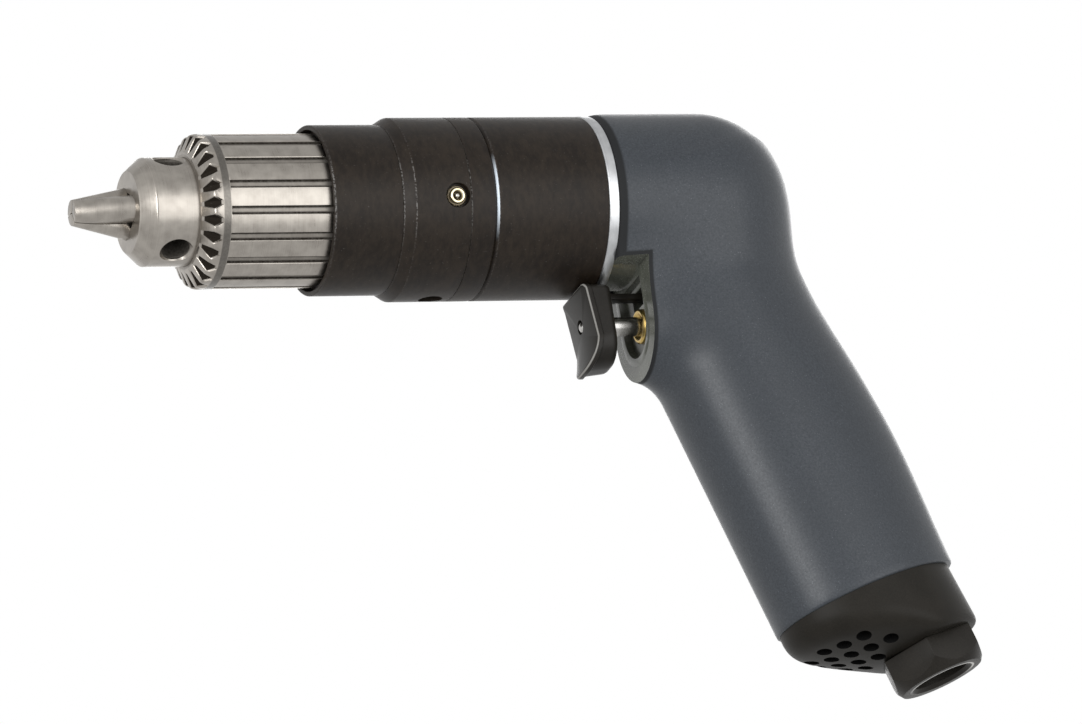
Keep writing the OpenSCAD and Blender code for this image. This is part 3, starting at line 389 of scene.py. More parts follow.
# %% Moulded plastic, and what has the same even grain
def moulding(name, dark, pale, rough, gloss=0.3):
    finish = Finish(name, IOR=1.48, Specular_IOR_Level=gloss)
    grain, cloud = finish.noise(0.3, detail=3), finish.noise(6, detail=3)
    tone = (grain * 0.5 + cloud * 0.5).between(0.3, 0.7)
    finish.set(Base_Color=tone.mix(dark, pale), Roughness=grain * 0.16 + cloud * 0.1 + rough - 0.12)
    finish.bump(grain, 0.12, 0.05)
    return finish


CAP_BLACK = moulding("cap_black", (0.0115, 0.0100, 0.0076), (0.020, 0.0176, 0.0140), 0.46, 0.16).material
FRAME_GLOSS = moulding("trigger_frame_coat", (0.095, 0.100, 0.082), (0.155, 0.162, 0.137), 0.24, 0.6).material
# The walls of the vents are near black: painted shade inside the holes.
VENT_SHADE = moulding("vent_painted_shade", (0.002, 0.002, 0.002), (0.004, 0.004, 0.004), 0.7, 0.1).material
RUBBER = moulding("rubber", (0.012, 0.012, 0.012), (0.024, 0.024, 0.024), 0.55).material
FIBRE = moulding("vane_fibre", (0.16, 0.09, 0.045), (0.26, 0.16, 0.085), 0.60).material
SINTERED = moulding("sintered_bronze", (0.16, 0.10, 0.045), (0.30, 0.20, 0.10), 0.60).material
print("moulded finishes:", [m.name for m in (CAP_BLACK, FRAME_GLOSS, VENT_SHADE, RUBBER, FIBRE, SINTERED)])

# %% [markdown]
# The floor and the world get their nodes here, because they use the same helper. Both are white where metal
# mirrors them, as the paper of a studio is, and only the floor that the eye sees keeps its shadow.

# %% Floor and world nodes
def pale_floor():
    finish = Finish("pale_floor", Roughness=0.7)
    finish.set(Base_Color=finish.noise(300).mix((0.91, 0.91, 0.91), (0.94, 0.94, 0.94)))
    in_metal = finish.node("ShaderNodeLightPath", output="Is Glossy Ray")
    paper = finish.node("ShaderNodeEmission", None, {"Color": (1, 1, 1), "Strength": 0.78})
    both = finish.node("ShaderNodeMixShader", None,
                       {0: in_metal, 1: Tap(finish.tree, finish.shader.outputs[0]), 2: paper})
    finish.tree.links.new(both.socket, finish.tree.nodes["Material Output"].inputs["Surface"])
    finish.material.cycles.emission_sampling = "NONE"
    return finish.material


floor_mesh.materials.append(pale_floor())
scene.world = bpy.data.worlds.new("studio")
scene.world.use_nodes = True
sky = scene.world.node_tree
seen, mirrored, through = [node(sky, "ShaderNodeLightPath", output=f"Is {ray} Ray")
                           for ray in ("Camera", "Glossy", "Transmission")]
direction = node(sky, "ShaderNodeTexCoord", output="Generated")
ceiling = node(sky, "ShaderNodeSeparateXYZ", None, {0: direction}, 2).between(0.1, 0.75)
white = seen.highest(through)
plain = mirrored * (1 - ceiling * 0.3) + (1 - mirrored) * (0.54 - ceiling * 0.2)
backdrop = sky.nodes["Background"].inputs
backdrop["Color"].default_value = (1, 1, 1, 1)
sky.links.new((white + (1 - white) * plain).socket, backdrop["Strength"])
scene.view_settings.view_transform = "Standard"
print("world and floor ready")

# %% [markdown]
# ## Making meshes
# Every piece starts from points and faces in millimetres. Modifiers are turned into plain meshes at once, so
# that each piece ends as a plain mesh. A real edge always catches a line of light, so edges get a small round.

# %% Plain meshes
def new_piece(name, vertices, faces, material=None):
    mesh = bpy.data.meshes.new(name)
    mesh.from_pydata([tuple(v) for v in np.asarray(vertices, float) * MM], [], faces)
    mesh.validate()
    piece = bpy.data.objects.new(name, mesh)
    scene.collection.objects.link(piece)
    if material:
        mesh.materials.append(material)
    return piece


def dress(piece, material):
    """Gives a piece one finish all over."""
    piece.data.materials.clear()
    piece.data.materials.append(material)


def tidy(piece, sharp=38, merge=1e-7):
    """Merges doubles, turns the faces outwards and shades the piece smooth between its sharp edges."""
    work = bmesh.new()
    work.from_mesh(piece.data)
    bmesh.ops.remove_doubles(work, verts=work.verts, dist=merge)
    bmesh.ops.recalc_face_normals(work, faces=work.faces)
    work.to_mesh(piece.data)
    work.free()
    piece.data.shade_smooth()
    piece.data.set_sharp_from_angle(angle=math.radians(sharp))
    return piece


def settle(piece):
    """Turns the modifiers of a piece into its plain mesh."""
    bpy.context.view_layer.update()
    deps = bpy.context.evaluated_depsgraph_get()
    mesh = bpy.data.meshes.new_from_object(piece.evaluated_get(deps), preserve_all_data_layers=True, depsgraph=deps)
    piece.modifiers.clear()
    old, piece.data = piece.data, mesh
    mesh.name = piece.name
    bpy.data.meshes.remove(old)
    return piece


def soften(piece, width, segments=2, angle=35):
    """Rounds the edges that are sharper than the angle."""
    bevel = piece.modifiers.new("soften", "BEVEL")
    bevel.width, bevel.segments = width * MM, segments
    bevel.limit_method, bevel.angle_limit = "ANGLE", math.radians(angle)
    return settle(piece)


print("mesh helpers ready")

# %% [markdown]
# Most of the barrel is turned work, so one helper spins a half profile about an axis. An outline is a list of
# (radius, station, round), and each corner with a round becomes a small arc first.

# %% Turned work
ARC_STEPS, MOST_OF_HALF = 4, 0.48


def rounded(outline, closed):
    """Replaces each corner (r, s, round) of an outline by a small arc."""
    result, count = [], len(outline)
    for i, corner in enumerate(outline):
        here, size = np.array(corner[:2], float), corner[2] if len(corner) > 2 else 0
        if not size or (not closed and i in (0, count - 1)):
            result.append(here)
            continue
        before, after = np.array(outline[i - 1][:2], float), np.array(outline[(i + 1) % count][:2], float)
        a, b = before - here, after - here
        reach_a, reach_b = np.linalg.norm(a), np.linalg.norm(b)
        a, b = a / reach_a, b / reach_b
        half = math.acos(max(-1, min(1, float(a @ b)))) / 2
        run = min(size / math.tan(half), MOST_OF_HALF * reach_a, MOST_OF_HALF * reach_b)
        middle = here + (a + b) / np.linalg.norm(a + b) * run / math.cos(half)
        start, end = here + a * run - middle, here + b * run - middle
        for share in np.linspace(0, 1, ARC_STEPS + 1):
            mixed = start * (1 - share) + end * share
            result.append(middle + mixed / np.linalg.norm(mixed) * np.linalg.norm(start))
    return result


def ring_faces(rings, closed=False):
    """Faces between rings of point numbers that follow one another; a pole repeats one number."""
    faces = []
    for one, two in zip(rings, rings[1:] + rings[:1] if closed else rings[1:]):
        for k in range(len(one)):
            n = (k + 1) % len(one)
            loop = [one[k], one[n], two[n], two[k]]
            loop = [v for i, v in enumerate(loop) if v != loop[i - 1]]
            if len(set(loop)) > 2:
                faces.append(loop)
    return faces


def in_metres(place):
    """A matrix in millimetres, for meshes in metres."""
    return Matrix.Scale(MM, 4) @ place @ Matrix.Scale(1 / MM, 4)


def lathe(name, outline, material=None, around=160, closed=True, place=None):
    """Spins an outline of (radius, station, round) about the spindle axis, or about the axis of place."""
    vertices, rings = [], []
    for r, s in rounded(outline, closed):
        first, count = len(vertices), around if r > 1e-6 else 1
        vertices += [at_clock(r, 360 * k / around, s) for k in range(count)]
        rings.append([first + k % count for k in range(around)])
    piece = new_piece(name, vertices, ring_faces(rings, closed), material)
    if place is not None:
        piece.data.transform(in_metres(place))
    return tidy(piece)


print("lathe ready")

# %% [markdown]
# Holes are cut with Boolean modifiers, by round bars that work as drills. A finished piece then rides on a body
# of the solid model and hides its solid.

# %% Drills, cuts and the hand-over of a piece
def rod_between(name, radius, start, end, around=64, material=None, far_radius=None):
    """A round bar or cone between two points in millimetres, mostly used as a cutter."""
    start, end = Vector(start), Vector(end)
    length = (end - start).length
    turn = (end - start).normalized().to_track_quat("X", "Z").to_matrix().to_4x4()
    place = Matrix.Translation(start) @ turn @ Matrix.Rotation(math.pi, 4, "Z")
    outline = [(0, 0), (radius, 0), (far_radius or radius, length), (0, length)]
    return lathe(name, outline, material, around, place=place)


def radial_drill(name, radius, clock, station, deep, high, far_radius=None):
    """A drill that points at the spindle axis, between two distances from it."""
    return rod_between(name, radius, at_clock(deep, clock, station), at_clock(high, clock, station),
                       far_radius=far_radius)


def cut(piece, *cutters, operation="DIFFERENCE", own_finish=False):
    """Cuts each cutter out of the piece and deletes it. The walls of the cut may keep the cutter's own finish."""
    for cutter in cutters:
        knife = piece.modifiers.new("cut", "BOOLEAN")
        knife.operation, knife.object, knife.solver = operation, cutter, "EXACT"
        knife.material_mode = "TRANSFER" if own_finish else "INDEX"
    settle(piece)
    for cutter in cutters:
        bpy.data.objects.remove(cutter)


def stand_in(piece, body, slot, *nodes):
    """Puts a finished piece in the place of its solids."""
    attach(piece, body)
    if nodes:
        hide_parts(*nodes)
    print(piece.name, "stands for", nodes, "with", len(piece.data.polygons), "faces")


print("drills ready")

# %% [markdown]
# ## The chuck body and its jaws
# The nose of the chuck is a turned cylinder with a coned front. Three jaws slide in slanting bores that meet
# ahead of the nose, and three holes take the pilot of the key. Turning first and drilling after, as in the
# workshop, gives the curved edges where bore and cone meet.

# %% Chuck body
JAW_CLOCKS, KEY_CLOCKS, JAW_TILT, TIP_AXIS = (99, 219, 339), (39, 159, 279), math.radians(15), -0.1972
JAW_R, KEY_R = 2.75, 2.95


def jaw_axis(clock, along):
    """A point on a jaw's own axis."""
    return at_clock(TIP_AXIS + along * math.sin(JAW_TILT), clock, along * math.cos(JAW_TILT))


chuck_body = lathe("chuck_body_turned", [
    (3.9, NOSE_FACE, 0.2), (8.4, NOSE_FACE, 0.25), (CHUCK_R, 14.7, 0.8), (CHUCK_R, 26.0), (9, 26.0), (9, LAND_FRONT),
    (13.72, LAND_FRONT), (13.72, 50.94), (13.12, 51.54), (4.75, 51.54), (4.75, 39.94), (3.3, 39.94), (3.3, 24.42),
    (3.9, 24.42)], CHUCK_STEEL, 192)
drills = [rod_between("jaw_bore", JAW_R + 0.04, jaw_axis(c, 0), jaw_axis(c, 42.7)) for c in JAW_CLOCKS]
drills += [radial_drill("key_bore", KEY_R, c, KEY_S, 5.6, 14) for c in KEY_CLOCKS]
drills += [radial_drill("key_edge", 2.8, c, KEY_S, 10.2, 11.4, 3.75) for c in KEY_CLOCKS]
cut(chuck_body, *drills)
tidy(chuck_body, 30)
stand_in(chuck_body, "spindle", "chuck_steel", "chuck_body")

# %% [markdown]
# A jaw is a round bar whose tip is ground to a wedge of a third of a turn, so that three tips fill the circle.
# The bar is intersected with that wedge, which leaves a thin gap to the neighbours.

# %% Jaws
TIP_GAP, WEDGE_R, WEDGE_LENGTH = 0.115, 30, 40


def jaw(number, clock):
    piece = rod_between(f"jaw_{number}_ground", JAW_R, jaw_axis(clock, -4), jaw_axis(clock, 30.02), 96, CHUCK_STEEL)
    corners = [at_clock(WEDGE_R if side else TIP_GAP, clock + side, station)
               for station in (0, WEDGE_LENGTH) for side in (0, -60, 60)]
    wedge = new_piece("wedge", corners, [(0, 1, 2), (5, 4, 3), (0, 3, 4, 1), (1, 4, 5, 2), (2, 5, 3, 0)])
    cut(piece, tidy(wedge), operation="INTERSECT")
    dress(piece, CHUCK_STEEL)
    soften(piece, 0.14, 2, 30)
    tidy(piece, 30)
    stand_in(piece, f"jaw_{number}", "chuck_steel", f"chuck_jaw_{number}")


for number, clock in enumerate(JAW_CLOCKS, 1):
    jaw(number, clock)

# %% [markdown]
# ## Node trees that make shapes
# What repeats or follows a rule is made by Geometry Nodes. Each tree has named inputs, which are filled in before
# the tree first runs, and each ends in the same way: copies become real geometry and the finish is set.

# %% Helpers for node trees
WELD = 2e-6


def shape_tree(name, result, **inputs):
    """A tree with named inputs of the given kinds, and the taps of these inputs."""
    tree = bpy.data.node_groups.new(name, "GeometryNodeTree")
    for label, kind in inputs.items():
        tree.interface.new_socket(label, in_out="INPUT", socket_type="NodeSocket" + kind)
    tree.interface.new_socket(result, in_out="OUTPUT", socket_type="NodeSocketGeometry")
    inside = tree.nodes.new("NodeGroupInput")
    return tree, {label: Tap(tree, inside.outputs[label]) for label in inputs}


def end_tree(tree, shape, finish, weld=0.0):
    """Realizes the copies, welds them where asked, and sets the finish."""
    real = node(tree, "GeometryNodeRealizeInstances", None, {0: shape})
    if weld:
        real = node(tree, "GeometryNodeMergeByDistance", None, {"Geometry": real, "Distance": weld})
    dressed = node(tree, "GeometryNodeSetMaterial", None, {"Geometry": real, "Material": finish})
    tree.links.new(dressed.socket, tree.nodes.new("NodeGroupOutput").inputs[0])
    print("tree", tree.name, "has", len(tree.nodes), "nodes")
    return tree


def run_tree(piece, tree, **values):
    """Runs a tree on a piece and keeps the result as its plain mesh."""
    modifier = piece.modifiers.new(tree.name, "NODES")
    modifier.node_group = tree
    names = {item.name: item.identifier for item in tree.interface.items_tree}
    for name, value in values.items():
        modifier[names[name]] = value
    return settle(piece)


print("tree helpers ready")

# %% [markdown]
# ## The toothed and fluted sleeve
# The sleeve repeats one tooth 27 times and one flute 18 times. Each is drawn once as a narrow slice, and a
# node tree spins copies of the slice round the spindle. A slice keeps its sharp lines exactly on its own
# columns of points, which a Boolean cut of so many small notches wouldn't.

# %% A node tree that spins copies round the spindle
def spin_tree():
    tree, given = shape_tree("spin_copies", "Ring", Slice="Geometry", Count="Int", Clock="Float", Finish="Material")
    dots = node(tree, "GeometryNodePoints", None, {"Count": given["Count"]})
    angle = node(tree, "GeometryNodeInputIndex") / given["Count"] * -math.tau - given["Clock"]
    euler = node(tree, "ShaderNodeCombineXYZ", None, {0: angle})
    turn = node(tree, "FunctionNodeEulerToRotation", None, {0: euler})
    copies = node(tree, "GeometryNodeInstanceOnPoints", None,
                  {"Points": dots, "Instance": given["Slice"], "Rotation": turn})
    return end_tree(tree, copies, given["Finish"], WELD)


SPIN = spin_tree()


def numbered(count, around):
    """Point numbers of rings that lie one after another in a list of points."""
    return np.arange(count * around).reshape(count, around).tolist()


def spun(name, columns, count, clock):
    """A ring of slices. Columns of (radius, clock, station) points, each a closed loop, make one slice."""
    points = [at_clock(*point) for column in columns for point in column]
    piece = new_piece(name, points, ring_faces(numbered(len(columns), len(columns[0]))))
    run_tree(piece, SPIN, Count=count, Clock=math.radians(clock), Finish=CHUCK_STEEL)
    return tidy(piece, 28, WELD)


def both_sides(half):
    """Half a row of (clock, fall) spots, mirrored about its last one."""
    return half + [(-clock, fall) for clock, fall in reversed(half[:-1])]


# %% [markdown]
# The notches between the teeth run along a cone of 45 degrees. At each station the top of the teeth and the root of
# the notch are known, so a column of points falls from the one to the other by its own share.

# %% Teeth
TEETH, TOOTH_CLOCK, ROOT_HALF, FLANK, ROOT_FRONT_R = 27, 106, 0.42, 0.72, 12.15


def tooth_columns():
    stations = [SLEEVE_FRONT, 23.75, 24.1, 24.6, 25.1, 25.3, 25.55, 25.85, 26.2, 26.7, 27.0, 27.2, TEETH_REAR]
    tops = np.interp(stations, [SLEEVE_FRONT, 25.1, 25.25, 25.5, 26.1, 30],
                     [TOOTH_TIP_R, 15.25, 15.42, 15.61, SLEEVE_R, SLEEVE_R])
    rows = []
    for station, top in zip(stations, tops):
        root = ROOT_FRONT_R + station - SLEEVE_FRONT
        fall = max(0.0, top - root)
        edge = math.degrees((ROOT_HALF + FLANK * fall * 0.7071) / top)
        foot = math.degrees(ROOT_HALF / root)
        spots = both_sides([(-180 / TEETH, 0), (-edge - 0.35, 0), (-edge, 0.04), (-edge * 0.67 - foot * 0.33, 0.33),
                            (-edge * 0.33 - foot * 0.67, 0.67), (-foot, 1), (0, 1)])
        rows.append([(top - share * fall, clock, station) for clock, share in spots])
    behind, inner = TEETH_REAR + 0.01, CHUCK_R + 0.04
    return [[*column, (15.5, column[-1][1], behind), (inner, column[-1][1], behind),
             (inner, column[0][1], SLEEVE_FRONT)] for column in zip(*rows)]


stand_in(spun("tooth_ring", tooth_columns(), TEETH, TOOTH_CLOCK), "sleeve", "chuck_steel")

# %% [markdown]
# A flute has steep walls and a flat floor. It runs out in a short slope in front, and the rear edge of the sleeve is
# broken by a small cone.

# %% Flutes
FLUTE_HALF, FLUTE_DEPTH, SLEEVE_BORE_R, SLEEVE_NECK_R = 0.8, 0.5, 13.76, 12.92


def flute_columns():
    wall, half_pitch = math.degrees(FLUTE_HALF / SLEEVE_R), 180 / FLUTES
    stations = [TEETH_REAR, 28.55, FLUTE_FRONT, 28.9, 29.0, 33, 38, 44, 50.2, 50.75, 50.95, SLEEVE_REAR]
    columns = []
    for clock, fall in both_sides([(-half_pitch, 0), (-half_pitch * 0.6, 0), (-wall - 0.45, 0), (-wall - 0.12, 0.16),
                                   (-wall + 0.06, 0.9), (-wall + 0.35, 1), (0, 1)]):
        column = []
        for station in stations:
            top = SLEEVE_R - max(0.0, station - 50.7) * 0.9
            start = min(1.0, max(0.0, (station - FLUTE_FRONT) / 0.12))
            column.append((top - FLUTE_DEPTH * fall * start, clock, station))
        columns.append(column + [(SLEEVE_BORE_R, clock, SLEEVE_REAR), (SLEEVE_BORE_R, clock, LAND_FRONT),
                                 (SLEEVE_NECK_R, clock, LAND_FRONT), (SLEEVE_NECK_R, clock, TEETH_REAR)])
    return columns


stand_in(spun("fluted_sleeve", flute_columns(), FLUTES, FLUTE_CLOCK), "sleeve", "chuck_steel", "chuck_sleeve")

# %% [markdown]
# ## The barrel
# Nose cap, gear case, locking ring and motor housing are plain turned pieces. What makes them read as metal is
# the small round on each edge and the shallow groove where two pieces meet. The gear case is drilled for the grease
# fitting and for a pin spanner.

# %% Barrel pieces
FITTING_S, FITTING_CLOCK, SPANNER_S, SPANNER_CLOCK, CLEAR_R = 76.2426, 104, 75.0426, 190, 22


def barrel_piece(solid, outline, *holes):
    piece = lathe(solid + "_turned", outline, BARREL_BLACK, 192)
    if holes:
        cut(piece, *holes)
        tidy(piece, 30)
    stand_in(piece, "tool_body", "dark_housing", solid)


barrel_piece("nose_cap", [
    (RECESS_R, RIM_FRONT, 0.2), (NOSE_R, RIM_FRONT, 0.35), (NOSE_R, NOSE_REAR, 0.15), (15.02, NOSE_REAR),
    (15.02, 55.84), (13.02, 55.84), (13.02, 54.54), (7.7, 54.54), (7.7, 52.54), (RECESS_R, 52.54)])
barrel_piece("gear_case", [
    (13.02, 56.14), (15.0, 56.14), (15.0, NOSE_REAR + FIT), (NOSE_R, NOSE_REAR + FIT, 0.15), (CASE_R, 67.24, 0.8),
    (CASE_R, CASE_REAR, 0.22), (SPIGOT_R, CASE_REAR), (SPIGOT_R, 81.79), (14.75, 81.79), (14.75, 68.64),
    (12.66, 68.64), (12.66, 65.24), (8.42, 65.24), (8.42, 62.54), (13.02, 62.54)],
    radial_drill("fitting_seat", 2.6, FITTING_CLOCK, FITTING_S, CASE_R - 1.6, CLEAR_R),
    radial_drill("spanner_hole", 2.5, SPANNER_CLOCK, SPANNER_S, CASE_R - 2, CLEAR_R))
barrel_piece("locking_ring", [
    (SPIGOT_R + FIT, CASE_REAR + FIT), (CASE_R, CASE_REAR + FIT, 0.22), (CASE_R, RING_REAR - 0.5, 0.25),
    (CASE_R - 0.5, RING_REAR), (SPIGOT_R + FIT, RING_REAR)])
barrel_piece("motor_housing", [
    (15.52, 81.99), (SPIGOT_R, 81.99), (SPIGOT_R, RING_REAR + FIT), (CASE_R - 0.5, RING_REAR + FIT),
    (CASE_R, RING_REAR + 0.5, 0.25), (CASE_R, MOTOR_REAR, 0.35), (SPIGOT_R + FIT, MOTOR_REAR), (SPIGOT_R + FIT, 104.34),
    (15.52, 104.34)])

# %% [markdown]
# ## The grease fitting
# A flush fitting: a notched brass collar in a dark round seat, a rolled lip and a ball that closes it.
# It is turned in its own frame, which points out of the barrel at its clock angle. Old grease darkens it
# inside and round the lip, so only the lip and bits of the collar's rim shine.

# %% Grease fitting
NOTCHES, NOTCH_R, NOTCH_SET, BALL_R = 10, 0.26, 2.2, 0.51
outwards = at_clock(1, FITTING_CLOCK, 0)
FITTING_PLACE = (Matrix.Translation(at_clock(0, 0, FITTING_S))
                 @ outwards.to_track_quat("-X", "Z").to_matrix().to_4x4())


def fitting_finish():
    finish = turned_metal("fitting_brass", (0.90, 0.82, 0.60), (0.70, 0.58, 0.34), 0.24)
    across, along = finish.axis(1) * outwards.z - finish.axis(2) * outwards.y, finish.axis(0) + FITTING_S
    radius = (across * across + along * along) ** 0.5
    rim = radius.between(1.94, 2.04) * finish.noise(0.6).between(0.42, 0.55)
    grease = radius.between(1.02, 0.92).highest(radius.between(1.66, 1.74)) * (1 - rim)
    finish.set(Base_Color=(grease * 0.92).mix(finish.so_far("Base Color"), (0.045, 0.028, 0.010)),
               Metallic=1 - grease * 0.6)
    return finish.material


def notch(clock):
    low, high = [FITTING_PLACE @ at_clock(NOTCH_SET, clock, height) for height in (17.0, 18.4)]
    return rod_between("notch", NOTCH_R, low, high, 16)


fitting = lathe("fitting_turned", [
    (0, 17.5), (0.6, 17.5), (0.66, 17.95), (0.98, 18.35, 0.1), (1.1, 18.6, 0.15), (1.48, 18.6, 0.25),
    (1.7, 18.2, 0.15), (1.7, 17.85), (1.95, 17.85, 0.08), (2.15, 17.7, 0.08), (2.15, 17.27), (1.5, 17.27),
    (1.5, 15.05), (0, 15.05)], fitting_finish(), 96, closed=False, place=FITTING_PLACE)
cut(fitting, *[notch(360 / NOTCHES * k) for k in range(NOTCHES)])
tidy(fitting, 34)
stand_in(fitting, "tool_body", "brass", "grease_fitting")
half_circle = [(BALL_R * math.sin(a), 17.55 + BALL_R * (1 - math.cos(a))) for a in np.radians(range(0, 181, 12))]
ball = lathe("fitting_ball", half_circle, GROUND_STEEL, 48, closed=False, place=FITTING_PLACE)
stand_in(ball, "tool_body", "bright_steel", "grease_ball")

# %% [markdown]
# ## The moulded grip
# The grip is one smooth form: the end of the barrel, the leaning oval handle and the nose round the trigger
# flow into each other. Each is a distance field, and a soft minimum joins them with a fillet. The palm side swells
# and has a waist above the swell. The casting, which is the inside of the grip, has a field of the same kind.

# %% The fields of the grip and the casting
HALF_DEPTH, HALF_WIDTH, SIDE_CROWN = 20.3, 16.0, 3.0
GRIP_WALL, FRAME_R, TRIGGER_NOSE_R = 2.2, 8.4, 11.2
GRIP_FILLET, NOSE_FILLET, TAIL_LENGTH, CORE_TAIL = 7.0, 5.5, 24, 12
END_R = HALF_WIDTH - SIDE_CROWN
OVAL_C = HALF_DEPTH - END_R
OVAL_E = (OVAL_C ** 2 - SIDE_CROWN ** 2) / (2 * SIDE_CROWN)


def oval_field(q, y):
    q, y = np.abs(q), np.abs(y)
    side = np.hypot(q, y + OVAL_E) - HALF_WIDTH - OVAL_E
    end = np.hypot(q - OVAL_C, y) - END_R
    return np.where(OVAL_C * (y + OVAL_E) > OVAL_E * q, side, end)


def nose_field(s, y, z, radius):
    """The form round the line from the spindle down to the throttle rod, ahead of the handle."""
    return np.maximum(np.hypot(y, z + np.clip(-z, 0, ROD_DROP)) - radius, s - HANDLE_S)


def soft_join(a, b, blend):
    h = np.clip(0.5 + 0.5 * (b - a) / blend, 0, 1)
    return b * (1 - h) + a * h - blend * h * (1 - h)


def hill(x, middle, width):
    return np.exp(-((x - middle) / width) ** 2)


def grip_field(s, y, z):
    bend = GRIP_R - 0.8
    a, b = np.hypot(y, z) - GRIP_R + bend, s - (HANDLE_S + TAIL_LENGTH) + bend
    tail = np.hypot(np.maximum(a, 0), np.maximum(b, 0)) + np.minimum(np.maximum(a, b), 0) - bend
    q, down = handle_numbers(s, z)
    palm = 1.1 * hill(down, 65, 19) - 1.5 * hill(down, 28, 14)
    handle = np.maximum(oval_field(q, y) - np.maximum(0, -q / HALF_DEPTH) * palm, -down)
    return soft_join(soft_join(tail, handle, GRIP_FILLET), nose_field(s, y, z, TRIGGER_NOSE_R), NOSE_FILLET)


def core_field(s, y, z):
    q, down = handle_numbers(s, z)
    barrel = np.maximum(np.hypot(y, z) - GRIP_R + GRIP_WALL, s - HANDLE_S - CORE_TAIL)
    handle = np.maximum(oval_field(q, y) + GRIP_WALL, -down)
    return np.minimum(np.minimum(barrel, handle), nose_field(s, y, z, FRAME_R)) - FIT


print("handle oval: end radius", END_R, "mm, side radius", round(HALF_WIDTH + OVAL_E, 1), "mm")

# %% [markdown]
# Rays from a spine that bends from the barrel into the handle find the surface, as on the solid model, only finer.
# Along each ray the span between inside and outside is halved until it is below a micron. The sections outside and
# inside follow one another and close to one skin, and a block opens it where the frame stands behind the trigger.

# %% Rays from the spine find the surface
FAN_DROP = ROD_DROP + FRAME_R + GRIP_WALL + 15.3
FAN_Q, FAN_L = handle_numbers(FLANGE_REAR, -FAN_DROP)
FAN_TURN, FAN_START = math.pi / 2 - HANDLE_TILT, FAN_DROP - 9
RAYS, RAY_LENGTH, HALVINGS = 200, 60.0, 26
ray_angle = np.arange(RAYS) * math.tau / RAYS


def reach(field_at):
    """How far each ray goes before it leaves a form."""
    low, high = np.zeros(RAYS), np.full(RAYS, RAY_LENGTH)
    for _ in range(HALVINGS):
        mid = (low + high) / 2
        outside = field_at(mid) > 0
        high, low = np.where(outside, mid, high), np.where(outside, low, mid)
    return mid


def grip_section(share, leg, drop, field=grip_field):
    """Points round one section: share of the bend, length down the leg, and how far the surface is drawn in."""
    t, r = FAN_TURN * share, FAN_START + (FAN_Q - FAN_START) * share
    s, z = FLANGE_REAR + r * math.sin(t) + leg * TILT_SIN, -FAN_DROP + r * math.cos(t) - leg * TILT_COS
    ds, dy, dz = np.cos(ray_angle) * math.sin(t), np.sin(ray_angle), np.cos(ray_angle) * math.cos(t)
    far = reach(lambda r: field(s + r * ds, r * dy, z + r * dz)) - drop
    return np.stack([-(s + far * ds), far * dy, z + far * dz], 1)


def grip_mesh():
    leg = HANDLE_LENGTH - FAN_L
    edge = [(0.0, 1.0), (0.003, 0.72), (0.008, 0.45), (0.015, 0.24), (0.024, 0.09), (0.034, 0.02)]
    outer = [(f, 0, d) for f, d in edge] + [(f, 0, 0) for f in np.linspace(0.046, 1, 64)]
    outer += [(1, leg * k / 24, 0) for k in range(1, 24)]
    outer += [(1, leg - 0.6, 0.0), (1, leg - 0.25, 0.08), (1, leg - 0.06, 0.28), (1, leg, 0.55)]
    inner = [(1, leg, 0), (1, leg * 0.5, 0)] + [(f, 0, 0) for f in np.linspace(1, 0, 40)]
    sections = [grip_section(*row) for row in outer] + [grip_section(*row, core_field) for row in inner]
    faces = ring_faces(numbered(len(sections), RAYS), closed=True)
    return tidy(new_piece("grip_moulded", np.concatenate(sections), faces, GRIP_SLATE), 50)


def block(name, xs, ys, zs, material):
    """A box between two x, two y and two z."""
    corners = [(x, y, z) for x in xs for y in ys for z in zs]
    sides = [(0, 1, 3, 2), (4, 6, 7, 5), (0, 4, 5, 1), (2, 3, 7, 6), (0, 2, 6, 4), (1, 5, 7, 3)]
    return tidy(new_piece(name, corners, sides, material))


grip = grip_mesh()
cut(grip, block("frame_opening", (-FRAME_S, 40 - FRAME_S), (-30, 30), (-90, -16), FRAME_GLOSS), own_finish=True)
tidy(grip, 40)
stand_in(grip, "tool_body", "grip", "grip_cover")

# %% [markdown]
# ## Casting, rod, bush
# The casting shows as the bare ring in front of the grip and as the frame behind the trigger. It keeps the
# shape of its solid: a copy is cleaned, its edges are softened, and the parts get their own finishes. The rod and
# its bush are turned about their own axis below the spindle.

# %% Casting
def cleaned_copy(solid, name, material):
    """A copy of a solid whose flat faces are whole again."""
    piece = bpy.data.objects.new(name, frame["nodes"][solid].data.copy())
    scene.collection.objects.link(piece)
    dress(piece, material)
    work = bmesh.new()
    work.from_mesh(piece.data)
    bmesh.ops.remove_doubles(work, verts=work.verts, dist=WELD)
    bmesh.ops.dissolve_limit(work, angle_limit=math.radians(0.6), verts=work.verts, edges=work.edges)
    work.to_mesh(piece.data)
    work.free()
    return piece


casting = cleaned_copy("handle_housing", "handle_casting", FRAME_GLOSS)
soften(casting, 0.15, 2, 30)
tidy(casting, 32)
casting.data.materials.append(BARE_ALUMINIUM)
for face in casting.data.polygons:
    if face.center.x > -(FLANGE_REAR + 0.05) * MM:
        face.material_index = 1
stand_in(casting, "tool_body", "casting", "handle_housing")

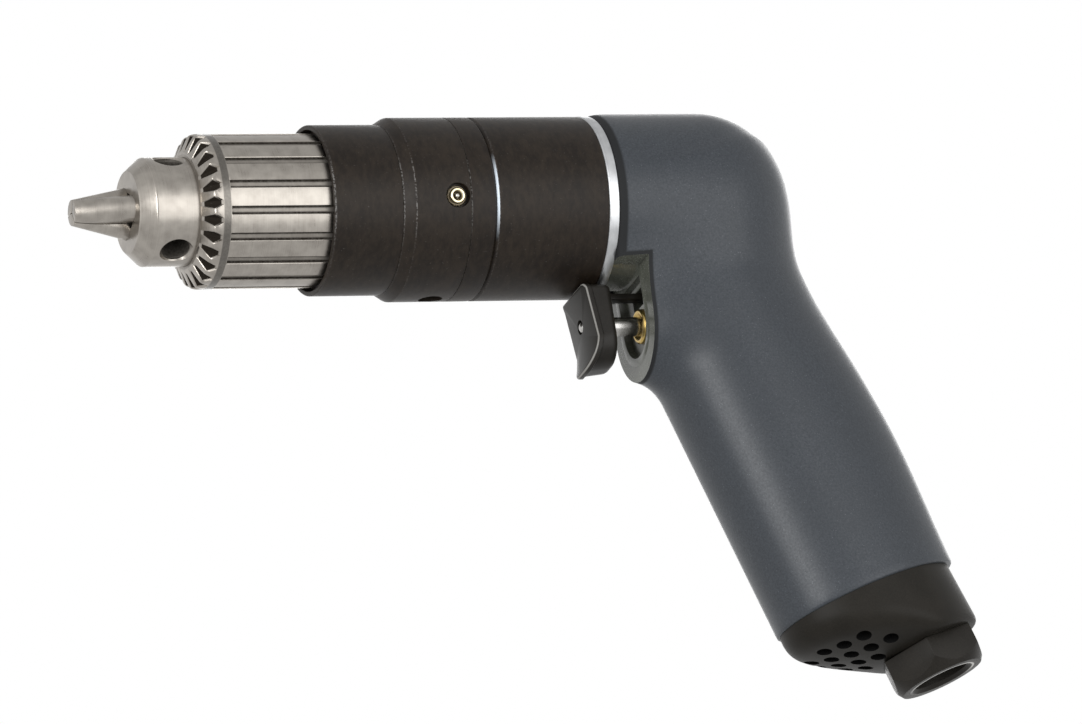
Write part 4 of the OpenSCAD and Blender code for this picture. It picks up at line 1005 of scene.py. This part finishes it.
# %% Throttle rod and its bush
ROD_PLACE = Matrix.Translation((0, 0, -ROD_DROP))
rod = lathe("rod_ground", [
    (0, 105.25), (0.5, 105.33), (0.95, 105.58), (1.28, 105.95), (1.45, 106.4), (1.5, 106.9), (1.5, 108.34),
    (2, 108.34), (2, 141.79, 0.2), (1, 142.79), (1, 144.79, 0.2), (0, 144.79)],
    GROUND_STEEL, 96, closed=False, place=ROD_PLACE)
stand_in(rod, "trigger", "bright_steel", "throttle_rod")
bush = lathe("bush_turned", [
    (2.84, 118.1, 0.1), (3.25, 118.1, 0.12), (3.6, 118.45, 0.12), (3.6, 138.47), (2.04, 138.47), (2.04, 134.12),
    (3.05, 134.12), (3.05, 132.82), (2.04, 132.82), (2.04, 118.9)], BRASS, 96, place=ROD_PLACE)
stand_in(bush, "tool_body", "brass", "throttle_bush")

# %% [markdown]
# ## The trigger
# From the front the trigger is a tongue: straight sides, a round foot. Its finger face is dished from top to bottom
# and a little crowned from side to side, and its lower end is a lip with the body drawn up behind it. The outline is
# drawn once, and rings of it follow one another from the middle of the face over the edge, along the side and to the
# middle of the back. A narrow guide behind it runs in the frame and keeps it from turning. A pale line painted on the
# edge of the face is a painted highlight, and the domed end of the rod shows in its hole.

# %% Outline and finish of the trigger
TRIGGER_FRONT, TRIGGER_BACK, TRIGGER_TOP, TRIGGER_LOW, TRIGGER_HALF = 105.5, 111.44, 19.2, 37.2, 7.0
FOOT_R, CORNER_R, DISH_R, DISH_DROP, CROWN_R, QUARTER = 6.2, 1.4, 24, 1.6, 22, 40


def tongue(inset, lift=0.0):
    """The outline of the trigger from the front, as (y, z), drawn in by the inset, with its foot lifted."""
    half, foot, corner = TRIGGER_HALF - inset, FOOT_R - inset, max(0.3, CORNER_R - inset)
    top, low, points = -TRIGGER_TOP - inset, -TRIGGER_LOW + inset + lift, []
    for y, z, r, start in ((half - corner, top - corner, corner, 0), (corner - half, top - corner, corner, 90),
                           (foot - half, low + foot, foot, 180), (half - foot, low + foot, foot, 270)):
        for a in np.radians(np.linspace(start, start + 90, QUARTER)):
            points.append((y + r * math.cos(a), z + r * math.sin(a)))
    return np.array(points)


def finger_face(y, z):
    """Station of the finger face: dished by a large circle and crowned across."""
    return TRIGGER_FRONT - DISH_R + np.sqrt(DISH_R ** 2 - (z + ROD_DROP + DISH_DROP) ** 2) + y * y / (2 * CROWN_R)


def trigger_finish():
    """Black plastic, with a pale line painted as a highlight where the piece's attribute says so."""
    finish = moulding("trigger_black", (0.011, 0.0098, 0.0078), (0.019, 0.0168, 0.0138), 0.36, 0.22)
    edge_highlight = finish.node("ShaderNodeAttribute", {"attribute_name": "edge_highlight"}, output="Fac")
    finish.set(Base_Color=(edge_highlight * 0.9).mix(finish.so_far("Base Color"), (0.34, 0.33, 0.31)))
    return finish.material


TRIGGER_BLACK = trigger_finish()
print("trigger outline of", len(tongue(0)), "points")

# %% Trigger
FACE_INSET, SIDE_INSET, BACK_ROUND, BACK_LIFT = 0.45, 0.2, 1.5, 0.8
FACE_SHARES = (0.02, 0.15, 0.3, 0.45, 0.6, 0.72, 0.82, 0.9, 0.96, 1.0)
LIP_STEPS = ((0.26, 0.06, 0), (0.11, 0.18, 0), (0.02, 0.36, 0), (0, 0.6, 0), (0, 1.15, 0), (0.06, 1.3, 0.1),
             (SIDE_INSET, 1.4, 0.3), (SIDE_INSET, 1.6, 0.35))
# The rings at the edge of the finger face carry the painted highlight.
HIGHLIGHT_RINGS = (len(FACE_SHARES), len(FACE_SHARES) + 1)


def trigger_rings():
    """Rings of (station, y, z) from the middle of the finger face to the middle of the back."""
    middle = np.array([0.0, -(TRIGGER_TOP + TRIGGER_LOW) / 2])
    rear, lip = TRIGGER_BACK - 0.5, finger_face(*tongue(FACE_INSET).T)
    back = rear - BACK_ROUND
    rows = []
    for share in FACE_SHARES:
        flat = middle + (tongue(FACE_INSET) - middle) * share
        rows.append((finger_face(*flat.T), flat))
    rows += [(lip + step, tongue(inset, lift)) for inset, step, lift in LIP_STEPS]
    rows += [((lip + 1.6) * (1 - share) + back * share, tongue(SIDE_INSET, 0.35 + 0.45 * share))
             for share in (0.25, 0.5, 0.75)]
    rows += [(back + BACK_ROUND * math.sin(a), tongue(SIDE_INSET + BACK_ROUND * (1 - math.cos(a)), BACK_LIFT))
             for a in np.radians(np.linspace(0, 90, 6))]
    rows.append((rear, middle + (tongue(SIDE_INSET + BACK_ROUND, BACK_LIFT) - middle) * 0.02))
    return [np.column_stack([np.full(len(flat), station), flat]) for station, flat in rows]


def trigger_mesh():
    rings = trigger_rings()
    numbers = numbered(len(rings), len(rings[0]))
    faces = ring_faces(numbers) + [numbers[0], numbers[-1]]
    piece = new_piece("trigger_moulded", np.concatenate(rings) * (-1, 1, 1), faces, TRIGGER_BLACK)
    edge_highlight = piece.data.attributes.new("edge_highlight", "FLOAT", "POINT")
    edge_highlight.data.foreach_set("value", [float(i in HIGHLIGHT_RINGS) for i, ring in enumerate(numbers) for _ in ring])
    return tidy(piece, 40, WELD)


def rod_hole(name, radius, start, end):
    return rod_between(name, radius, (-start, 0, -ROD_DROP), (-end, 0, -ROD_DROP), 48)


trigger = trigger_mesh()
guide = block("trigger_guide", (2 - TRIGGER_BACK, -FRAME_S - 3), (-1.2, 1.2), (-20.9, -19.5), TRIGGER_BLACK)
cut(trigger, soften(guide, 0.25, 3), operation="UNION")
cut(trigger, rod_hole("rod_seat", 1.52, 100, TRIGGER_FRONT + 3.3),
    rod_hole("rod_step", 2.02, TRIGGER_FRONT + 3.2, TRIGGER_BACK + 1))
tidy(trigger, 36)
stand_in(trigger, "trigger", "black_plastic", "trigger")

# %% [markdown]
# ## Exhaust cap and air inlet
# The cap carries on the outline of the handle, is cut off aslant and has soft moulded edges. Its field is the
# larger of the side and the slanting face, joined softly, and rays from inside find it. The vents are placed
# by a node tree that puts one drill on each point of a staggered pattern.

# %% Cap
CAP_Q, CAP_FRONT, FACE_SAG_R, CAP_WALL, CAP_ROWS = HALF_DEPTH - 2, 98, 34.5, 2.2, 70
CAP_SLOPE = math.atan2(8, CAP_Q - 1)


def cap_field(q, y, length):
    side = oval_field(q, y) + 0.5 + 0.06 * np.clip(-q - 8, 0, 8) * np.clip(1 - (length - HANDLE_LENGTH) / 12, 0, 1)
    sag = FACE_SAG_R - np.sqrt(np.maximum(FACE_SAG_R ** 2 - y * y, 1))
    slant = (length - CAP_FRONT - (CAP_Q - q) * math.tan(CAP_SLOPE)) * math.cos(CAP_SLOPE) + sag
    foot = -soft_join(-slant, -(length - CAP_END), 1.2)
    return -soft_join(-side, -foot, np.clip(2.2 + 0.07 * (q + 6), 1.5, 3.4))


def cap_mesh():
    rings = []
    for share in np.linspace(0, 1, CAP_ROWS):
        dip = (math.pi / 2) * share ** 0.8
        dq, dy, dl = np.cos(ray_angle) * math.cos(dip), np.sin(ray_angle) * math.cos(dip), math.sin(dip)
        far = reach(lambda r: cap_field(r * dq, r * dy, HANDLE_LENGTH + r * dl))
        rings.append(np.stack(in_handle(far * dq, far * dy, HANDLE_LENGTH + far * dl), 1))
    faces = ring_faces(numbered(CAP_ROWS, RAYS))
    return tidy(new_piece("cap_moulded", np.concatenate(rings), faces, CAP_BLACK), 60, 3e-6)


cap = cap_mesh()
wall = cap.modifiers.new("wall", "SOLIDIFY")
wall.thickness, wall.offset = CAP_WALL * MM, -1
settle(cap)
print("cap shell of", len(cap.data.polygons), "faces")

# %% Vents by a node tree
VENT_ROWS = [(1, 2), (0.5, 1.5), (0, 1, 2), (0.5, 1.5), (0, 1, 2), (0.5, 1.5)]
VENT_FIRST, VENT_PITCH, ROW_FIRST, ROW_PITCH, VENT_R, VENT_DEPTH = 4.2, 5.86, 9.4, 3.75, 1.6, 18


def drill_tree():
    tree, given = shape_tree("drill_points", "Drills", Pattern="Geometry", Radius="Float", Depth="Float",
                             Direction="Vector", Finish="Material")
    bit = node(tree, "GeometryNodeMeshCylinder", None,
               {"Vertices": 40, "Radius": given["Radius"], "Depth": given["Depth"]})
    aligned = node(tree, "FunctionNodeAlignRotationToVector", {"axis": "Z"}, {"Vector": given["Direction"]})
    bits = node(tree, "GeometryNodeInstanceOnPoints", None,
                {"Points": given["Pattern"], "Instance": bit, "Rotation": aligned})
    return end_tree(tree, bits, given["Finish"])


pattern = []
for row, places in enumerate(VENT_ROWS):
    for place in places:
        along, y = VENT_FIRST + VENT_PITCH * place, ROW_FIRST - ROW_PITCH * row
        pattern.append(in_handle(CAP_Q - along * math.cos(CAP_SLOPE), y, CAP_FRONT + along * math.sin(CAP_SLOPE)))
vent_axis = HANDLE_FRAME.to_3x3() @ Vector((math.sin(CAP_SLOPE), 0, math.cos(CAP_SLOPE)))
drill = run_tree(new_piece("vent_drills", pattern, []), drill_tree(), Radius=VENT_R * MM, Depth=VENT_DEPTH * MM,
                 Direction=tuple(vent_axis), Finish=VENT_SHADE)
# The drills leave their near black on the walls of the vents, as painted shade.
cut(cap, drill, own_finish=True)
cut(cap, rod_between("inlet_hole", 7.45, in_handle(-INLET_SET, 0, 80), in_handle(-INLET_SET, 0, 120), 96))
soften(cap, 0.16, 2, 40)
tidy(cap, 36)
stand_in(cap, "tool_body", "black_plastic", "exhaust_cap")

# %% [markdown]
# The air inlet is a hexagon with turned corners and a countersunk mouth. A copy of its solid is intersected with a
# turned form, as hexagon bar is turned in a lathe. A pale metallic ring on the edge of the mouth, stronger towards
# +Y, is a painted highlight.

# %% Air inlet
MOUTH_R = 7.0
INLET_PLACE = HANDLE_FRAME @ Matrix.Translation((-INLET_SET, 0, 0)) @ Matrix.Rotation(math.pi / 2, 4, "Y")


def inlet_finish():
    finish = moulding("inlet_black", (0.0125, 0.0108, 0.0084), (0.022, 0.0192, 0.0155), 0.42, 0.2)
    y = finish.axis(1)
    q, length = handle_numbers(finish.station(), finish.axis(2))
    q = q + INLET_SET
    # A pale metallic ring at the edge of the mouth, stronger towards +Y: painted highlight.
    painted_glint = ((q * q + y * y) ** 0.5).line(MOUTH_R, 0.34, 0.16) * length.between(MOUTH_L - 0.75, MOUTH_L - 0.45)
    painted_glint = painted_glint * (y.between(-4, 2) * 0.85 + 0.15) * 0.9
    finish.set(Base_Color=painted_glint.mix(finish.so_far("Base Color"), (0.62, 0.61, 0.58)), Metallic=painted_glint)
    return finish.material


INLET_BLACK = inlet_finish()
inlet = tidy(cleaned_copy("inlet_bushing", "inlet_hexagon", INLET_BLACK), 32)
turned = lathe("turned_corners", [
    (0, 60), (14, 60), (14, CAP_END), (11.2, CAP_END), (10.9, CAP_END + 4.2, 1.5), (8.8, MOUTH_L + 0.1),
    (0, MOUTH_L + 0.1)], INLET_BLACK, 96, place=INLET_PLACE)
cut(inlet, turned, operation="INTERSECT")
soften(inlet, 0.22, 3, 25)
tidy(inlet, 32)
stand_in(inlet, "tool_body", "dark_housing", "inlet_bushing")

# %% [markdown]
# ## The valve spring
# A coil is what the Spiral curve node is for: a spiral, swept with a small circle.

# %% Spring by a node tree
COIL_TOP, COIL_HEIGHT, COIL_R, WIRE_R, COIL_TURNS = 49.25, 29.75, 4.1, 0.45, 7.0


def spring_tree():
    tree, given = shape_tree("coil_spring", "Coil", Radius="Float", Height="Float", Wire="Float", Turns="Float",
                             Finish="Material")
    spiral = node(tree, "GeometryNodeCurveSpiral", None, {
        "Resolution": 40, "Rotations": given["Turns"], "Start Radius": given["Radius"],
        "End Radius": given["Radius"], "Height": given["Height"]})
    ring = node(tree, "GeometryNodeCurvePrimitiveCircle", None, {"Resolution": 14, "Radius": given["Wire"]})
    tube = node(tree, "GeometryNodeCurveToMesh", None, {"Curve": spiral, "Profile Curve": ring, "Fill Caps": True})
    return end_tree(tree, tube, given["Finish"])


spring = run_tree(new_piece("valve_coil", [(0, 0, 0)], []), spring_tree(), Radius=COIL_R * MM,
                  Height=COIL_HEIGHT * MM, Wire=WIRE_R * MM, Turns=COIL_TURNS, Finish=GROUND_STEEL)
spring.data.transform(in_metres(HANDLE_FRAME @ Matrix.Translation((-INLET_SET, 0, COIL_TOP))))
tidy(spring, 40)
stand_in(spring, "tool_body", "bright_steel", "valve_spring")

# %% [markdown]
# ## Pieces that stay as solids
# Gears, bearings, motor and valve are inside. They keep their solids and get a finish by what they are made of.

# %% Finishes of the inner pieces
INNER = {"bright_steel": GROUND_STEEL, "iron": GREY_IRON, "brass": BRASS, "rubber": RUBBER,
         "sintered_bronze": SINTERED, "vane_fibre": FIBRE}
inner_pieces = [entry for entry in frame["record"]["subparts"] if entry["material_slot"] in INNER]
for entry in inner_pieces:
    dress(frame["nodes"][entry["node"]], INNER[entry["material_slot"]])
print(len(inner_pieces), "solids dressed")
